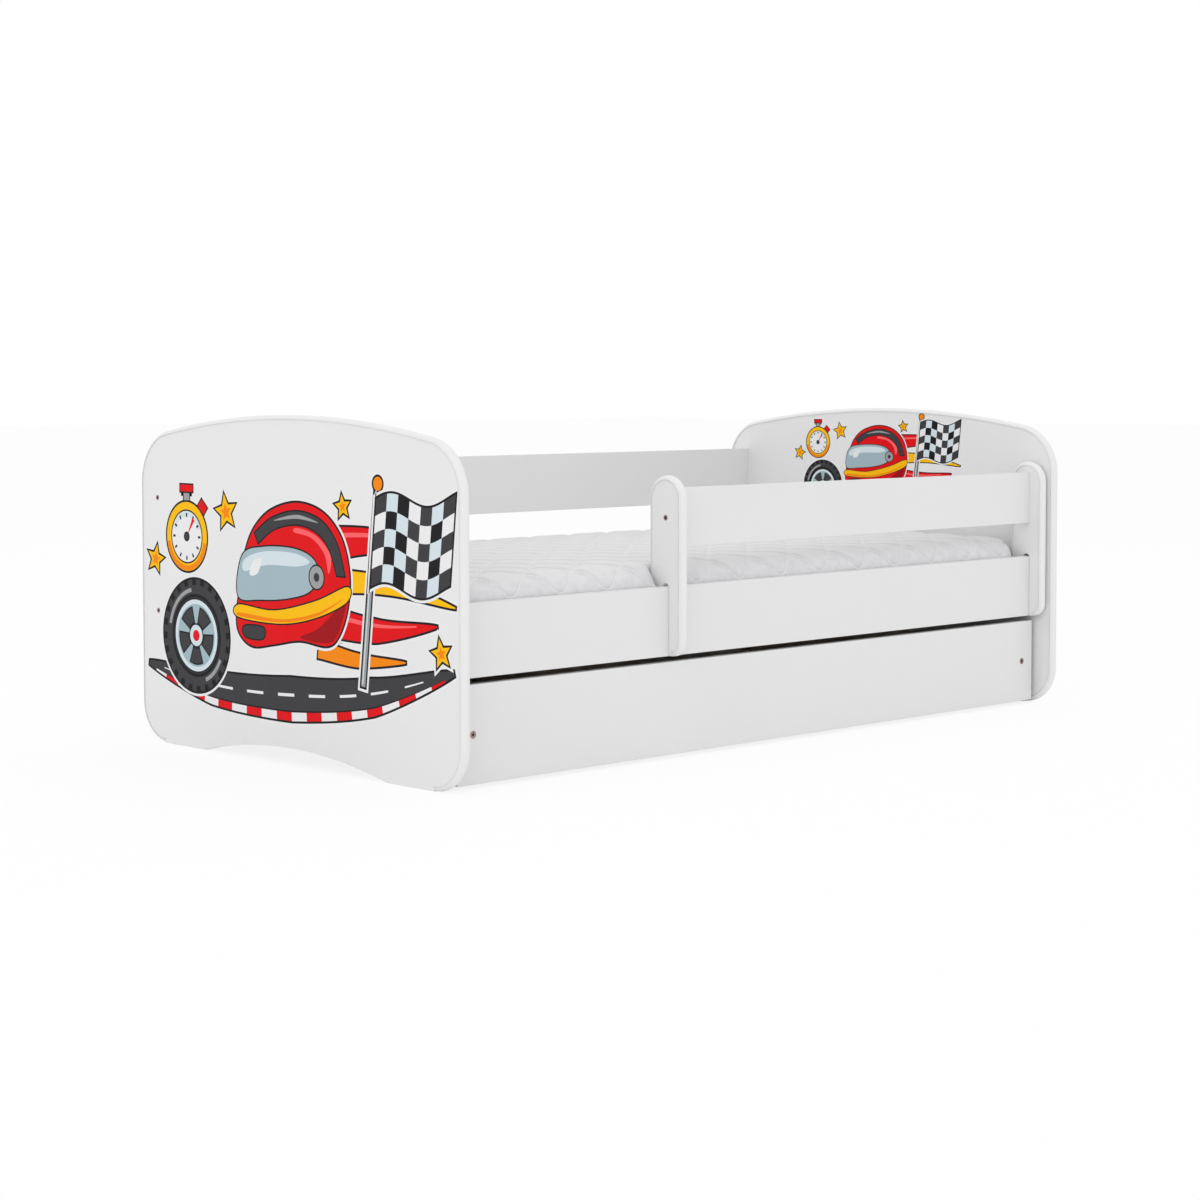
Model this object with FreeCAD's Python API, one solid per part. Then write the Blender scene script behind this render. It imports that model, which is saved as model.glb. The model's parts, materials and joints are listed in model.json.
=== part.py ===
import FreeCAD
import Part
import math
import os

# Child's single bed with a removable guard, a rolling drawer and a mattress.
# Millimetres. X runs from footboard (-) to headboard (+), -Y is the open front, Z is up.
# The origin lies on the floor under the middle of the bed.

# Mattress and the room round it
MATTRESS_LENGTH = 1600.0
MATTRESS_WIDTH = 800.0
MATTRESS_EDGE_HEIGHT = 80.5
MATTRESS_CROWN = 5.0
MATTRESS_SIDE_BULGE = 7.0
MATTRESS_SHOULDER = 44.0
MATTRESS_END_DROP = 34.0
MATTRESS_CORNER = 55.0
MATTRESS_END_PLAY = 7.0
MATTRESS_SIDE_PLAY = 3.0
DENT_CLEARANCE = 1.5
DENT_FLARE = 10.0
REST_GAP = 0.3

# Quilting channels in the mattress top
QUILT_LENGTH = 114.0
QUILT_WIDTH = 105.0
QUILT_LINE_GAP = 8.0
QUILT_MARGIN = 6.0
QUILT_PHASE = 26.0
CHANNEL_WIDTH = 4.0
CHANNEL_DEPTH = 3.0

# End boards
PANEL_THICKNESS = 16.0
PANEL_HEIGHT = 620.0
PANEL_OVERHANG = 47.5
PANEL_TOP_RADIUS = 2236.0
PANEL_TOP_CORNER = 101.0
PANEL_FOOT_CORNER = 76.0
PANEL_ARCH_HALF = 267.0
PANEL_ARCH_HEIGHT = 30.5

# Soft edging round the end boards and the guard uprights
EDGING_NOSE = 5.0
EDGING_LIP_DEPTH = 3.0
EDGING_LIP_THICKNESS = 2.0

# Side boards and back rail
RAIL_THICKNESS = 16.0
RAIL_BOTTOM = 186.0
RAIL_HEIGHT = 125.0
BACK_RAIL_BOTTOM = 400.0
BACK_RAIL_HEIGHT = 122.0

# Slatted base
LEDGER_SIZE = 25.0
LEDGER_DROP = 59.0
LEDGER_END_GAP = 10.0
LEDGER_SCREW_COUNT = 6
LEDGER_SCREW_MARGIN = 140.0
SLAT_COUNT = 12
SLAT_WIDTH = 70.0
SLAT_THICKNESS = 18.0
SLAT_END_PLAY = 3.0
SLAT_FIRST_CENTRE = 60.0
STRAP_WIDTH = 25.0
STRAP_THICKNESS = 1.2
STRAP_OFFSET = 250.0

# Guard
GUARD_LENGTH = 1100.0
GUARD_HEAD_GAP = 3.0
GUARD_BOARD_BOTTOM = 381.5
GUARD_BOARD_HEIGHT = 106.0
GUARD_BOARD_THICKNESS = 16.0
UPRIGHT_THICKNESS = 16.0
UPRIGHT_HALF_WIDTH = 42.0
UPRIGHT_TOP = 510.5
UPRIGHT_FOOT_CORNER = 26.0
UPRIGHT_REAR_LIFT = 6.0
SLOT_CLEARANCE = 0.5

# Drawer
DRAWER_BOARD = 16.0
DRAWER_END_GAP = 10.0
DRAWER_FLOOR_GAP = 7.5
FINGER_GAP = 11.0
DRAWER_DEPTH = 740.0
DRAWER_SIDE_INSET = 26.5
DRAWER_SIDE_HEIGHT = 115.0
DRAWER_BOTTOM_THICKNESS = 10.0
BOTTOM_SCREW_MARGIN = 60.0
BOTTOM_SCREWS_PER_SIDE = 4

# Castors
WHEEL_RADIUS = 18.0
WHEEL_WIDTH = 14.0
WHEEL_RIM_CHAMFER = 1.5
WHEEL_HOLE_RADIUS = 2.6
WHEEL_HOLE_CIRCLE = 10.5
WHEEL_HOLE_COUNT = 6
WHEEL_TOP_GAP = 2.0
AXLE_RADIUS = 3.0
AXLE_FIT = 0.08
CHEEK_THICKNESS = 2.5
CHEEK_GAP = 1.0
CHEEK_HALF_WIDTH = 8.0
CASTOR_FLANGE = 12.0
CASTOR_PLATE_LENGTH = 56.0
CASTOR_PLATE_THICKNESS = 3.0
CASTOR_SIDE_OFFSET = 60.0
CASTOR_END_OFFSET = 70.0
CASTOR_SCREW_MARGIN = 8.0

# Fasteners
CONFIRMAT_LENGTH = 50.0
CONFIRMAT_RADIUS = 3.5
CONFIRMAT_HEAD_RADIUS = 5.0
CONFIRMAT_HEAD_HEIGHT = 3.0
WIDE_HEAD_RADIUS = 6.7
SOCKET_WIDTH = 5.0
SOCKET_DEPTH = 4.0
DOWEL_RADIUS = 4.0
DOWEL_LENGTH = 30.0
DOWEL_OFFSET = 32.0
DOWEL_PANEL_DEPTH = 11.0
WOOD_SCREW_RADIUS = 2.0
WOOD_SCREW_HEAD_RADIUS = 3.8
WOOD_SCREW_HEAD_HEIGHT = 2.5
LEDGER_SCREW_LENGTH = 35.0
CASTOR_SCREW_LENGTH = 10.0
SCREW_FIT = 0.05

# Places worked out from the driving dimensions
INNER_X = MATTRESS_LENGTH / 2 + MATTRESS_END_PLAY
PANEL_X = INNER_X + PANEL_THICKNESS
INNER_Y = MATTRESS_WIDTH / 2 + MATTRESS_SIDE_PLAY
OUTER_Y = INNER_Y + RAIL_THICKNESS
RAIL_Y = INNER_Y + RAIL_THICKNESS / 2
PANEL_Y = OUTER_Y + PANEL_OVERHANG
RAIL_TOP = RAIL_BOTTOM + RAIL_HEIGHT
RAIL_MIDDLE = RAIL_BOTTOM + RAIL_HEIGHT / 2
BACK_RAIL_MIDDLE = BACK_RAIL_BOTTOM + BACK_RAIL_HEIGHT / 2
LEDGER_TOP = RAIL_TOP - LEDGER_DROP
LEDGER_HALF = INNER_X - LEDGER_END_GAP
SLAT_TOP = LEDGER_TOP + SLAT_THICKNESS
SLAT_REACH = INNER_X - SLAT_FIRST_CENTRE
LEDGER_MIDDLE_Y = INNER_Y - LEDGER_SIZE / 2
MATTRESS_BOTTOM = SLAT_TOP + REST_GAP

GUARD_RIGHT = INNER_X - GUARD_HEAD_GAP - EDGING_LIP_THICKNESS
GUARD_LEFT = GUARD_RIGHT - GUARD_LENGTH
GUARD_BOARD_MIDDLE = GUARD_BOARD_BOTTOM + GUARD_BOARD_HEIGHT / 2
SLOT_HALF = RAIL_THICKNESS / 2 + SLOT_CLEARANCE
SLOT_RISE = math.sqrt(SLOT_HALF ** 2 - (RAIL_THICKNESS / 2) ** 2)
SLOT_CENTRE_Z = RAIL_TOP + REST_GAP - SLOT_RISE
UPRIGHT_REAR_BOTTOM = SLAT_TOP + UPRIGHT_REAR_LIFT

DRAWER_FRONT_HALF = INNER_X - DRAWER_END_GAP
DRAWER_FRONT_TOP = RAIL_BOTTOM - FINGER_GAP
DRAWER_FRONT_MIDDLE = (DRAWER_FLOOR_GAP + DRAWER_FRONT_TOP) / 2
DRAWER_FRONT_OUTER = -OUTER_Y
DRAWER_FRONT_INNER = DRAWER_FRONT_OUTER + DRAWER_BOARD
DRAWER_BACK = DRAWER_FRONT_INNER + DRAWER_DEPTH
DRAWER_SIDE_OUTER = DRAWER_FRONT_HALF - DRAWER_SIDE_INSET
DRAWER_SIDE_INNER = DRAWER_SIDE_OUTER - DRAWER_BOARD
DRAWER_SIDE_MIDDLE = DRAWER_SIDE_OUTER - DRAWER_BOARD / 2
CASTOR_PLATE_BOTTOM = 2 * WHEEL_RADIUS + WHEEL_TOP_GAP
DRAWER_UNDERSIDE = CASTOR_PLATE_BOTTOM + CASTOR_PLATE_THICKNESS
DRAWER_FLOOR = DRAWER_UNDERSIDE + DRAWER_BOTTOM_THICKNESS
DRAWER_SIDE_TOP = DRAWER_FLOOR + DRAWER_SIDE_HEIGHT
DRAWER_SIDE_CENTRE_Z = DRAWER_FLOOR + DRAWER_SIDE_HEIGHT / 2

X_AXIS = FreeCAD.Vector(1, 0, 0)
Y_AXIS = FreeCAD.Vector(0, 1, 0)
Z_AXIS = FreeCAD.Vector(0, 0, 1)


def vec(x, y, z):
    return FreeCAD.Vector(x, y, z)


def box(x_range, y_range, z_range):
    """A block between two values on each axis."""
    low = [min(pair) for pair in (x_range, y_range, z_range)]
    high = [max(pair) for pair in (x_range, y_range, z_range)]
    sizes = [top - bottom for bottom, top in zip(low, high)]
    return Part.makeBox(sizes[0], sizes[1], sizes[2], vec(*low))


def rod(point, axis, radius, length):
    return Part.makeCylinder(radius, length, point, axis)


def spread(reach, count):
    """Evenly spaced places from -reach to +reach."""
    return [-reach + 2 * reach * i / (count - 1) for i in range(count)]


def cut_all(shape, tools):
    for tool in tools:
        shape = shape.cut(tool)
    return shape


def save(name, shapes):
    """Write one node, a single solid or a group of separate solids."""
    solids = []
    for shape in shapes if isinstance(shapes, list) else [shapes]:
        solids.extend(shape.Solids)
    node = solids[0] if len(solids) == 1 else Part.makeCompound(solids)
    node.exportStep("parts/" + name + ".step")


# Fasteners: each comes as the solid and as the hole that it fits


def socket(point, axis, width, depth):
    """A hexagonal recess going in from a point along an axis."""
    side = Z_AXIS if abs(axis.z) < 0.5 else X_AXIS
    other = axis.cross(side)
    radius = width / math.sqrt(3)
    corners = []
    for i in range(7):
        angle = math.radians(60 * i)
        corners.append(point + side * (radius * math.cos(angle)) + other * (radius * math.sin(angle)))
    return Part.Face(Part.makePolygon(corners)).extrude(axis * depth)


def stepped_rod(point, axis, head_radius, head_height, radius, length):
    head = rod(point, axis, head_radius, head_height)
    shank = rod(point + axis * head_height, axis, radius, length - head_height)
    return head.fuse(shank)


def confirmat(point, axis, head_radius):
    """Furniture screw whose head is flush with the face at the point."""
    body = stepped_rod(point, axis, head_radius, CONFIRMAT_HEAD_HEIGHT, CONFIRMAT_RADIUS, CONFIRMAT_LENGTH)
    return body.cut(socket(point, axis, SOCKET_WIDTH, SOCKET_DEPTH))


def confirmat_hole(point, axis, head_radius):
    return stepped_rod(
        point,
        axis,
        head_radius + SCREW_FIT,
        CONFIRMAT_HEAD_HEIGHT,
        CONFIRMAT_RADIUS + SCREW_FIT,
        CONFIRMAT_LENGTH + SCREW_FIT,
    )


def wood_screw(point, axis, length):
    return stepped_rod(
        point, axis, WOOD_SCREW_HEAD_RADIUS, WOOD_SCREW_HEAD_HEIGHT, WOOD_SCREW_RADIUS, length
    )


def wood_screw_hole(point, axis, length):
    return stepped_rod(
        point,
        axis,
        WOOD_SCREW_HEAD_RADIUS + SCREW_FIT,
        WOOD_SCREW_HEAD_HEIGHT,
        WOOD_SCREW_RADIUS + SCREW_FIT,
        length + SCREW_FIT,
    )


def dowel(point, axis):
    """Dowel across a joint face at the point, its short end against the axis."""
    return rod(point - axis * DOWEL_PANEL_DEPTH, axis, DOWEL_RADIUS, DOWEL_LENGTH)


def dowel_hole(point, axis):
    start = point - axis * (DOWEL_PANEL_DEPTH + SCREW_FIT)
    return rod(start, axis, DOWEL_RADIUS + SCREW_FIT, DOWEL_LENGTH + 2 * SCREW_FIT)


# Outlines in the YZ plane


def arc_edge(centre_y, centre_z, radius, start, end):
    """An arc in the plane X = 0 between two angles in degrees, measured from +Y."""
    points = []
    for angle in (start, (start + end) / 2, end):
        a = math.radians(angle)
        points.append(vec(0, centre_y + radius * math.cos(a), centre_z + radius * math.sin(a)))
    return Part.Arc(*points).toShape()


def line_edge(start, end):
    return Part.makeLine(start, end)


def first_point(edge):
    return edge.valueAt(edge.FirstParameter)


def last_point(edge):
    return edge.valueAt(edge.LastParameter)


def joined(edges):
    """Add the straight stretches between arcs that follow one another."""
    path = []
    for edge in edges:
        if path and last_point(path[-1]).distanceToPoint(first_point(edge)) > 1e-6:
            path.append(line_edge(last_point(path[-1]), first_point(edge)))
        path.append(edge)
    return path


def panel_path(inset):
    """Sides and top of an end board, from the front foot over the top to the back foot."""
    foot_y = PANEL_Y - PANEL_FOOT_CORNER
    corner_y = PANEL_Y - PANEL_TOP_CORNER
    arch_z = PANEL_HEIGHT - PANEL_TOP_RADIUS
    reach = PANEL_TOP_RADIUS - PANEL_TOP_CORNER
    corner_z = arch_z + math.sqrt(reach ** 2 - corner_y ** 2)
    tilt = math.degrees(math.asin(corner_y / reach))
    foot_radius = PANEL_FOOT_CORNER - inset
    corner_radius = PANEL_TOP_CORNER - inset
    return joined(
        [
            arc_edge(-foot_y, PANEL_FOOT_CORNER, foot_radius, 270, 180),
            arc_edge(-corner_y, corner_z, corner_radius, 180, 90 + tilt),
            arc_edge(0, arch_z, PANEL_TOP_RADIUS - inset, 90 + tilt, 90 - tilt),
            arc_edge(corner_y, corner_z, corner_radius, 90 - tilt, 0),
            arc_edge(foot_y, PANEL_FOOT_CORNER, foot_radius, 0, -90),
        ]
    )


def panel_face():
    """Face of the board inside its edging, with the feet and the arch between them."""
    path = panel_path(EDGING_NOSE)
    start = first_point(path[0])
    end = last_point(path[-1])
    arch = Part.Arc(
        vec(0, PANEL_ARCH_HALF, 0), vec(0, 0, PANEL_ARCH_HEIGHT), vec(0, -PANEL_ARCH_HALF, 0)
    ).toShape()
    below = [
        line_edge(end, vec(0, end.y, 0)),
        line_edge(vec(0, end.y, 0), vec(0, PANEL_ARCH_HALF, 0)),
        arch,
        line_edge(vec(0, -PANEL_ARCH_HALF, 0), vec(0, start.y, 0)),
        line_edge(vec(0, start.y, 0), start),
    ]
    return Part.Face(Part.Wire(path + below))


def upright_path(inset):
    """Edged outline of a guard upright, from its foot over the round top to the rear end."""
    corner_y = -RAIL_Y - UPRIGHT_HALF_WIDTH + UPRIGHT_FOOT_CORNER
    top_z = UPRIGHT_TOP - UPRIGHT_HALF_WIDTH
    top_radius = UPRIGHT_HALF_WIDTH - inset
    edges = joined(
        [
            arc_edge(corner_y, RAIL_BOTTOM + UPRIGHT_FOOT_CORNER, UPRIGHT_FOOT_CORNER - inset, 270, 180),
            arc_edge(-RAIL_Y, top_z, top_radius, 180, 90),
            arc_edge(-RAIL_Y, top_z, top_radius, 90, 0),
        ]
    )
    end = last_point(edges[-1])
    return edges + [line_edge(end, vec(0, end.y, UPRIGHT_REAR_BOTTOM))]


def upright_face():
    """Face of a guard upright with the slot that straddles the side board."""
    path = upright_path(EDGING_NOSE)
    start = first_point(path[0])
    end = last_point(path[-1])
    slot_front = -RAIL_Y - SLOT_HALF
    slot_rear = -RAIL_Y + SLOT_HALF
    slot_top = Part.Arc(
        vec(0, slot_rear, SLOT_CENTRE_Z),
        vec(0, -RAIL_Y, SLOT_CENTRE_Z + SLOT_HALF),
        vec(0, slot_front, SLOT_CENTRE_Z),
    ).toShape()
    inner = [
        line_edge(end, vec(0, slot_rear, UPRIGHT_REAR_BOTTOM)),
        line_edge(vec(0, slot_rear, UPRIGHT_REAR_BOTTOM), vec(0, slot_rear, SLOT_CENTRE_Z)),
        slot_top,
        line_edge(vec(0, slot_front, SLOT_CENTRE_Z), vec(0, slot_front, RAIL_BOTTOM)),
        line_edge(vec(0, slot_front, RAIL_BOTTOM), vec(0, start.y, RAIL_BOTTOM)),
        line_edge(vec(0, start.y, RAIL_BOTTOM), start),
    ]
    return Part.Face(Part.Wire(path + inner))


def plate(face, x_start, thickness):
    moved = face.copy()
    moved.translate(vec(x_start, 0, 0))
    return moved.extrude(X_AXIS * thickness)


def edging(path, x_middle, board_thickness):
    """Soft U-shaped edging along a path that starts at the foot, heading to the front."""
    half_board = board_thickness / 2
    half = half_board + EDGING_LIP_THICKNESS
    start = first_point(path[0])

    def at(across, outward):
        return vec(across, start.y, start.z - outward)

    lip_left = at(-half, -EDGING_LIP_DEPTH)
    lip_right = at(half, -EDGING_LIP_DEPTH)
    inside = [
        lip_left,
        at(-half_board, -EDGING_LIP_DEPTH),
        at(-half_board, 0),
        at(half_board, 0),
        at(half_board, -EDGING_LIP_DEPTH),
        lip_right,
    ]
    edges = [line_edge(a, b) for a, b in zip(inside, inside[1:])]
    edges.append(Part.Arc(lip_right, at(0, EDGING_NOSE), lip_left).toShape())
    swept = Part.Wire(path).makePipeShell([Part.Wire(edges)], True, False)
    swept.translate(vec(x_middle, 0, 0))
    return swept


# Joints between boards: places of the screw and the dowels at each end


def butt_joints():
    """Screw point, dowel points and inward axis for each rail end at the end boards."""
    joints = []
    for y, z in ((-RAIL_Y, RAIL_MIDDLE), (RAIL_Y, RAIL_MIDDLE), (RAIL_Y, BACK_RAIL_MIDDLE)):
        for side in (-1, 1):
            axis = X_AXIS * -side
            screw_point = vec(side * PANEL_X, y, z)
            dowels = [vec(side * INNER_X, y, z + shift) for shift in (-DOWEL_OFFSET, DOWEL_OFFSET)]
            joints.append((screw_point, dowels, axis))
    return joints


def guard_joints():
    joints = []
    for side, outer in ((-1, GUARD_LEFT), (1, GUARD_RIGHT)):
        axis = X_AXIS * -side
        screw_point = vec(outer, -RAIL_Y, GUARD_BOARD_MIDDLE)
        seam = outer - side * UPRIGHT_THICKNESS
        dowels = [
            vec(seam, -RAIL_Y, GUARD_BOARD_MIDDLE + shift) for shift in (-DOWEL_OFFSET, DOWEL_OFFSET)
        ]
        joints.append((screw_point, dowels, axis))
    return joints


def drawer_front_joints():
    joints = []
    for x in (-DRAWER_SIDE_MIDDLE, DRAWER_SIDE_MIDDLE):
        screw_point = vec(x, DRAWER_FRONT_OUTER, DRAWER_FRONT_MIDDLE)
        dowels = [
            vec(x, DRAWER_FRONT_INNER, DRAWER_FRONT_MIDDLE + shift)
            for shift in (-DOWEL_OFFSET, DOWEL_OFFSET)
        ]
        joints.append((screw_point, dowels, Y_AXIS))
    return joints


def joint_holes(joints, head_radius=CONFIRMAT_HEAD_RADIUS):
    tools = []
    for screw_point, dowels, axis in joints:
        tools.append(confirmat_hole(screw_point, axis, head_radius))
        tools.extend(dowel_hole(point, axis) for point in dowels)
    return tools


def joint_screws(joints, head_radius=CONFIRMAT_HEAD_RADIUS):
    return [confirmat(point, axis, head_radius) for point, dowels, axis in joints]


def joint_dowels(joints):
    return [dowel(point, axis) for screw, dowels, axis in joints for point in dowels]


# Bed frame


def ledger_screw_places():
    places = []
    for side in (-1, 1):
        for x in spread(INNER_X - LEDGER_SCREW_MARGIN, LEDGER_SCREW_COUNT):
            point = vec(x, side * (INNER_Y - LEDGER_SIZE), LEDGER_TOP - LEDGER_SIZE / 2)
            places.append((point, Y_AXIS * side))
    return places


def slat_screw_places():
    return [
        (vec(x, y, SLAT_TOP), Z_AXIS * -1)
        for x in (-SLAT_REACH, SLAT_REACH)
        for y in (-LEDGER_MIDDLE_Y, LEDGER_MIDDLE_Y)
    ]


def build_frame():
    joints = butt_joints()
    holes = joint_holes(joints)
    ledger_holes = [wood_screw_hole(p, a, LEDGER_SCREW_LENGTH) for p, a in ledger_screw_places()]
    slat_holes = [wood_screw_hole(p, a, LEDGER_SCREW_LENGTH) for p, a in slat_screw_places()]

    face = panel_face()
    save("footboard_panel", cut_all(plate(face, -PANEL_X, PANEL_THICKNESS), holes))
    save("headboard_panel", cut_all(plate(face, INNER_X, PANEL_THICKNESS), holes))
    panel_middle = INNER_X + PANEL_THICKNESS / 2
    path = panel_path(EDGING_NOSE)
    save("footboard_edging", edging(path, -panel_middle, PANEL_THICKNESS))
    save("headboard_edging", edging(path, panel_middle, PANEL_THICKNESS))

    span = (-INNER_X, INNER_X)
    front = box(span, (-OUTER_Y, -INNER_Y), (RAIL_BOTTOM, RAIL_TOP))
    back = box(span, (INNER_Y, OUTER_Y), (RAIL_BOTTOM, RAIL_TOP))
    upper_z = (BACK_RAIL_BOTTOM, BACK_RAIL_BOTTOM + BACK_RAIL_HEIGHT)
    upper = box(span, (INNER_Y, OUTER_Y), upper_z)
    save("front_side_board", cut_all(front, holes + ledger_holes))
    save("back_side_board", cut_all(back, holes + ledger_holes))
    save("back_rail", cut_all(upper, holes))
    save("panel_screws", joint_screws(joints))
    save("panel_dowels", joint_dowels(joints))

    for name, side in (("front_slat_ledger", -1), ("back_slat_ledger", 1)):
        ledger = box(
            (-LEDGER_HALF, LEDGER_HALF),
            (side * INNER_Y, side * (INNER_Y - LEDGER_SIZE)),
            (LEDGER_TOP - LEDGER_SIZE, LEDGER_TOP),
        )
        save(name, cut_all(ledger, ledger_holes + slat_holes))
    save("ledger_screws", [wood_screw(p, a, LEDGER_SCREW_LENGTH) for p, a in ledger_screw_places()])
    save("slat_screws", [wood_screw(p, a, LEDGER_SCREW_LENGTH) for p, a in slat_screw_places()])

    slat_half = INNER_Y - SLAT_END_PLAY
    for number, x in enumerate(spread(SLAT_REACH, SLAT_COUNT), 1):
        slat = box(
            (x - SLAT_WIDTH / 2, x + SLAT_WIDTH / 2), (-slat_half, slat_half), (LEDGER_TOP, SLAT_TOP)
        )
        save("slat_%02d" % number, cut_all(slat, slat_holes))
    straps = [
        box(
            (-SLAT_REACH - SLAT_WIDTH / 2, SLAT_REACH + SLAT_WIDTH / 2),
            (y - STRAP_WIDTH / 2, y + STRAP_WIDTH / 2),
            (LEDGER_TOP - STRAP_THICKNESS, LEDGER_TOP),
        )
        for y in (-STRAP_OFFSET, STRAP_OFFSET)
    ]
    save("slat_straps", straps)


# Guard


def build_guard():
    joints = guard_joints()
    holes = joint_holes(joints)
    face = upright_face()
    path = upright_path(EDGING_NOSE)
    for name, left in (("left", GUARD_LEFT), ("right", GUARD_RIGHT - UPRIGHT_THICKNESS)):
        save("guard_upright_" + name, cut_all(plate(face, left, UPRIGHT_THICKNESS), holes))
        save("guard_edging_" + name, edging(path, left + UPRIGHT_THICKNESS / 2, UPRIGHT_THICKNESS))
    board = box(
        (GUARD_LEFT + UPRIGHT_THICKNESS, GUARD_RIGHT - UPRIGHT_THICKNESS),
        (-RAIL_Y - GUARD_BOARD_THICKNESS / 2, -RAIL_Y + GUARD_BOARD_THICKNESS / 2),
        (GUARD_BOARD_BOTTOM, GUARD_BOARD_BOTTOM + GUARD_BOARD_HEIGHT),
    )
    save("guard_board", cut_all(board, holes))
    save("guard_screws", joint_screws(joints))
    save("guard_dowels", joint_dowels(joints))


# Drawer


def drawer_back_joints():
    """Screws through the sides and the back into the ends of the back and the divider."""
    y = DRAWER_BACK - DRAWER_BOARD / 2
    joints = []
    for side in (-1, 1):
        for z in (DRAWER_SIDE_CENTRE_Z - DOWEL_OFFSET, DRAWER_SIDE_CENTRE_Z + DOWEL_OFFSET):
            joints.append((vec(side * DRAWER_SIDE_OUTER, y, z), [], X_AXIS * -side))
    joints.append((vec(0, DRAWER_BACK, DRAWER_SIDE_CENTRE_Z), [], Y_AXIS * -1))
    return joints


def divider_dowel_places():
    return [
        vec(0, DRAWER_FRONT_INNER, DRAWER_FRONT_MIDDLE + shift) for shift in (-DOWEL_OFFSET, DOWEL_OFFSET)
    ]


def bottom_screw_places():
    """Points under the drawer bottom, below the sides, the divider and the back."""
    middle_y = (DRAWER_FRONT_INNER + DRAWER_BACK) / 2
    reach_y = DRAWER_DEPTH / 2 - BOTTOM_SCREW_MARGIN
    places = []
    for x in (-DRAWER_SIDE_MIDDLE, 0, DRAWER_SIDE_MIDDLE):
        for y in spread(reach_y, BOTTOM_SCREWS_PER_SIDE):
            places.append(vec(x, middle_y + y, DRAWER_UNDERSIDE))
    for x in (-DRAWER_SIDE_INNER / 2, DRAWER_SIDE_INNER / 2):
        places.append(vec(x, DRAWER_BACK - DRAWER_BOARD / 2, DRAWER_UNDERSIDE))
    return places


def build_drawer():
    front_joints = drawer_front_joints()
    back_joints = drawer_back_joints()
    divider_dowels = divider_dowel_places()
    bottom_places = bottom_screw_places()
    holes = joint_holes(front_joints, WIDE_HEAD_RADIUS) + joint_holes(back_joints)
    holes += [dowel_hole(p, Y_AXIS) for p in divider_dowels]
    bottom_holes = [wood_screw_hole(p, Z_AXIS, LEDGER_SCREW_LENGTH) for p in bottom_places]

    wall_z = (DRAWER_FLOOR, DRAWER_SIDE_TOP)
    front = box(
        (-DRAWER_FRONT_HALF, DRAWER_FRONT_HALF),
        (DRAWER_FRONT_OUTER, DRAWER_FRONT_INNER),
        (DRAWER_FLOOR_GAP, DRAWER_FRONT_TOP),
    )
    save("drawer_front", cut_all(front, holes))
    for name, side in (("left", -1), ("right", 1)):
        wall = box(
            (side * DRAWER_SIDE_INNER, side * DRAWER_SIDE_OUTER), (DRAWER_FRONT_INNER, DRAWER_BACK), wall_z
        )
        save("drawer_side_" + name, cut_all(wall, holes + bottom_holes))
    back_front = DRAWER_BACK - DRAWER_BOARD
    back = box((-DRAWER_SIDE_INNER, DRAWER_SIDE_INNER), (back_front, DRAWER_BACK), wall_z)
    save("drawer_back", cut_all(back, holes + bottom_holes))
    divider = box((-DRAWER_BOARD / 2, DRAWER_BOARD / 2), (DRAWER_FRONT_INNER, back_front), wall_z)
    save("drawer_divider", cut_all(divider, holes + bottom_holes))
    bottom = box(
        (-DRAWER_SIDE_OUTER, DRAWER_SIDE_OUTER),
        (DRAWER_FRONT_INNER, DRAWER_BACK),
        (DRAWER_UNDERSIDE, DRAWER_FLOOR),
    )
    castor_holes = [castor_screw_hole(p) for place in castor_places() for p in castor_screw_points(place)]
    save("drawer_bottom", cut_all(bottom, bottom_holes + castor_holes))
    save("drawer_front_screws", joint_screws(front_joints, WIDE_HEAD_RADIUS))
    front_dowels = joint_dowels(front_joints) + [dowel(p, Y_AXIS) for p in divider_dowels]
    save("drawer_front_dowels", front_dowels)
    save("drawer_back_screws", joint_screws(back_joints))
    save("drawer_bottom_screws", [wood_screw(p, Z_AXIS, LEDGER_SCREW_LENGTH) for p in bottom_places])


# Castors under the drawer

CHEEK_INNER = WHEEL_WIDTH / 2 + CHEEK_GAP
CHEEK_OUTER = CHEEK_INNER + CHEEK_THICKNESS
CASTOR_HALF_WIDTH = CHEEK_OUTER + CASTOR_FLANGE


def castor_places():
    """Wheel centres: front left, front right, back left, back right."""
    x = DRAWER_SIDE_OUTER - CASTOR_SIDE_OFFSET
    ends = (DRAWER_FRONT_INNER + CASTOR_END_OFFSET, DRAWER_BACK - CASTOR_END_OFFSET)
    return [vec(side * x, y, WHEEL_RADIUS) for y in ends for side in (-1, 1)]


def castor_screw_points(place):
    x_reach = CHEEK_OUTER + CASTOR_FLANGE / 2
    y_reach = CASTOR_PLATE_LENGTH / 2 - CASTOR_SCREW_MARGIN
    return [
        vec(place.x + x, place.y + y, CASTOR_PLATE_BOTTOM)
        for x in (-x_reach, x_reach)
        for y in (-y_reach, y_reach)
    ]


def castor_screw(point):
    """Screw with its head under the castor plate."""
    start = point - Z_AXIS * WOOD_SCREW_HEAD_HEIGHT
    return wood_screw(start, Z_AXIS, CASTOR_SCREW_LENGTH + WOOD_SCREW_HEAD_HEIGHT)


def castor_screw_hole(point):
    return rod(point, Z_AXIS, WOOD_SCREW_RADIUS + SCREW_FIT, CASTOR_SCREW_LENGTH + SCREW_FIT)


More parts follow.
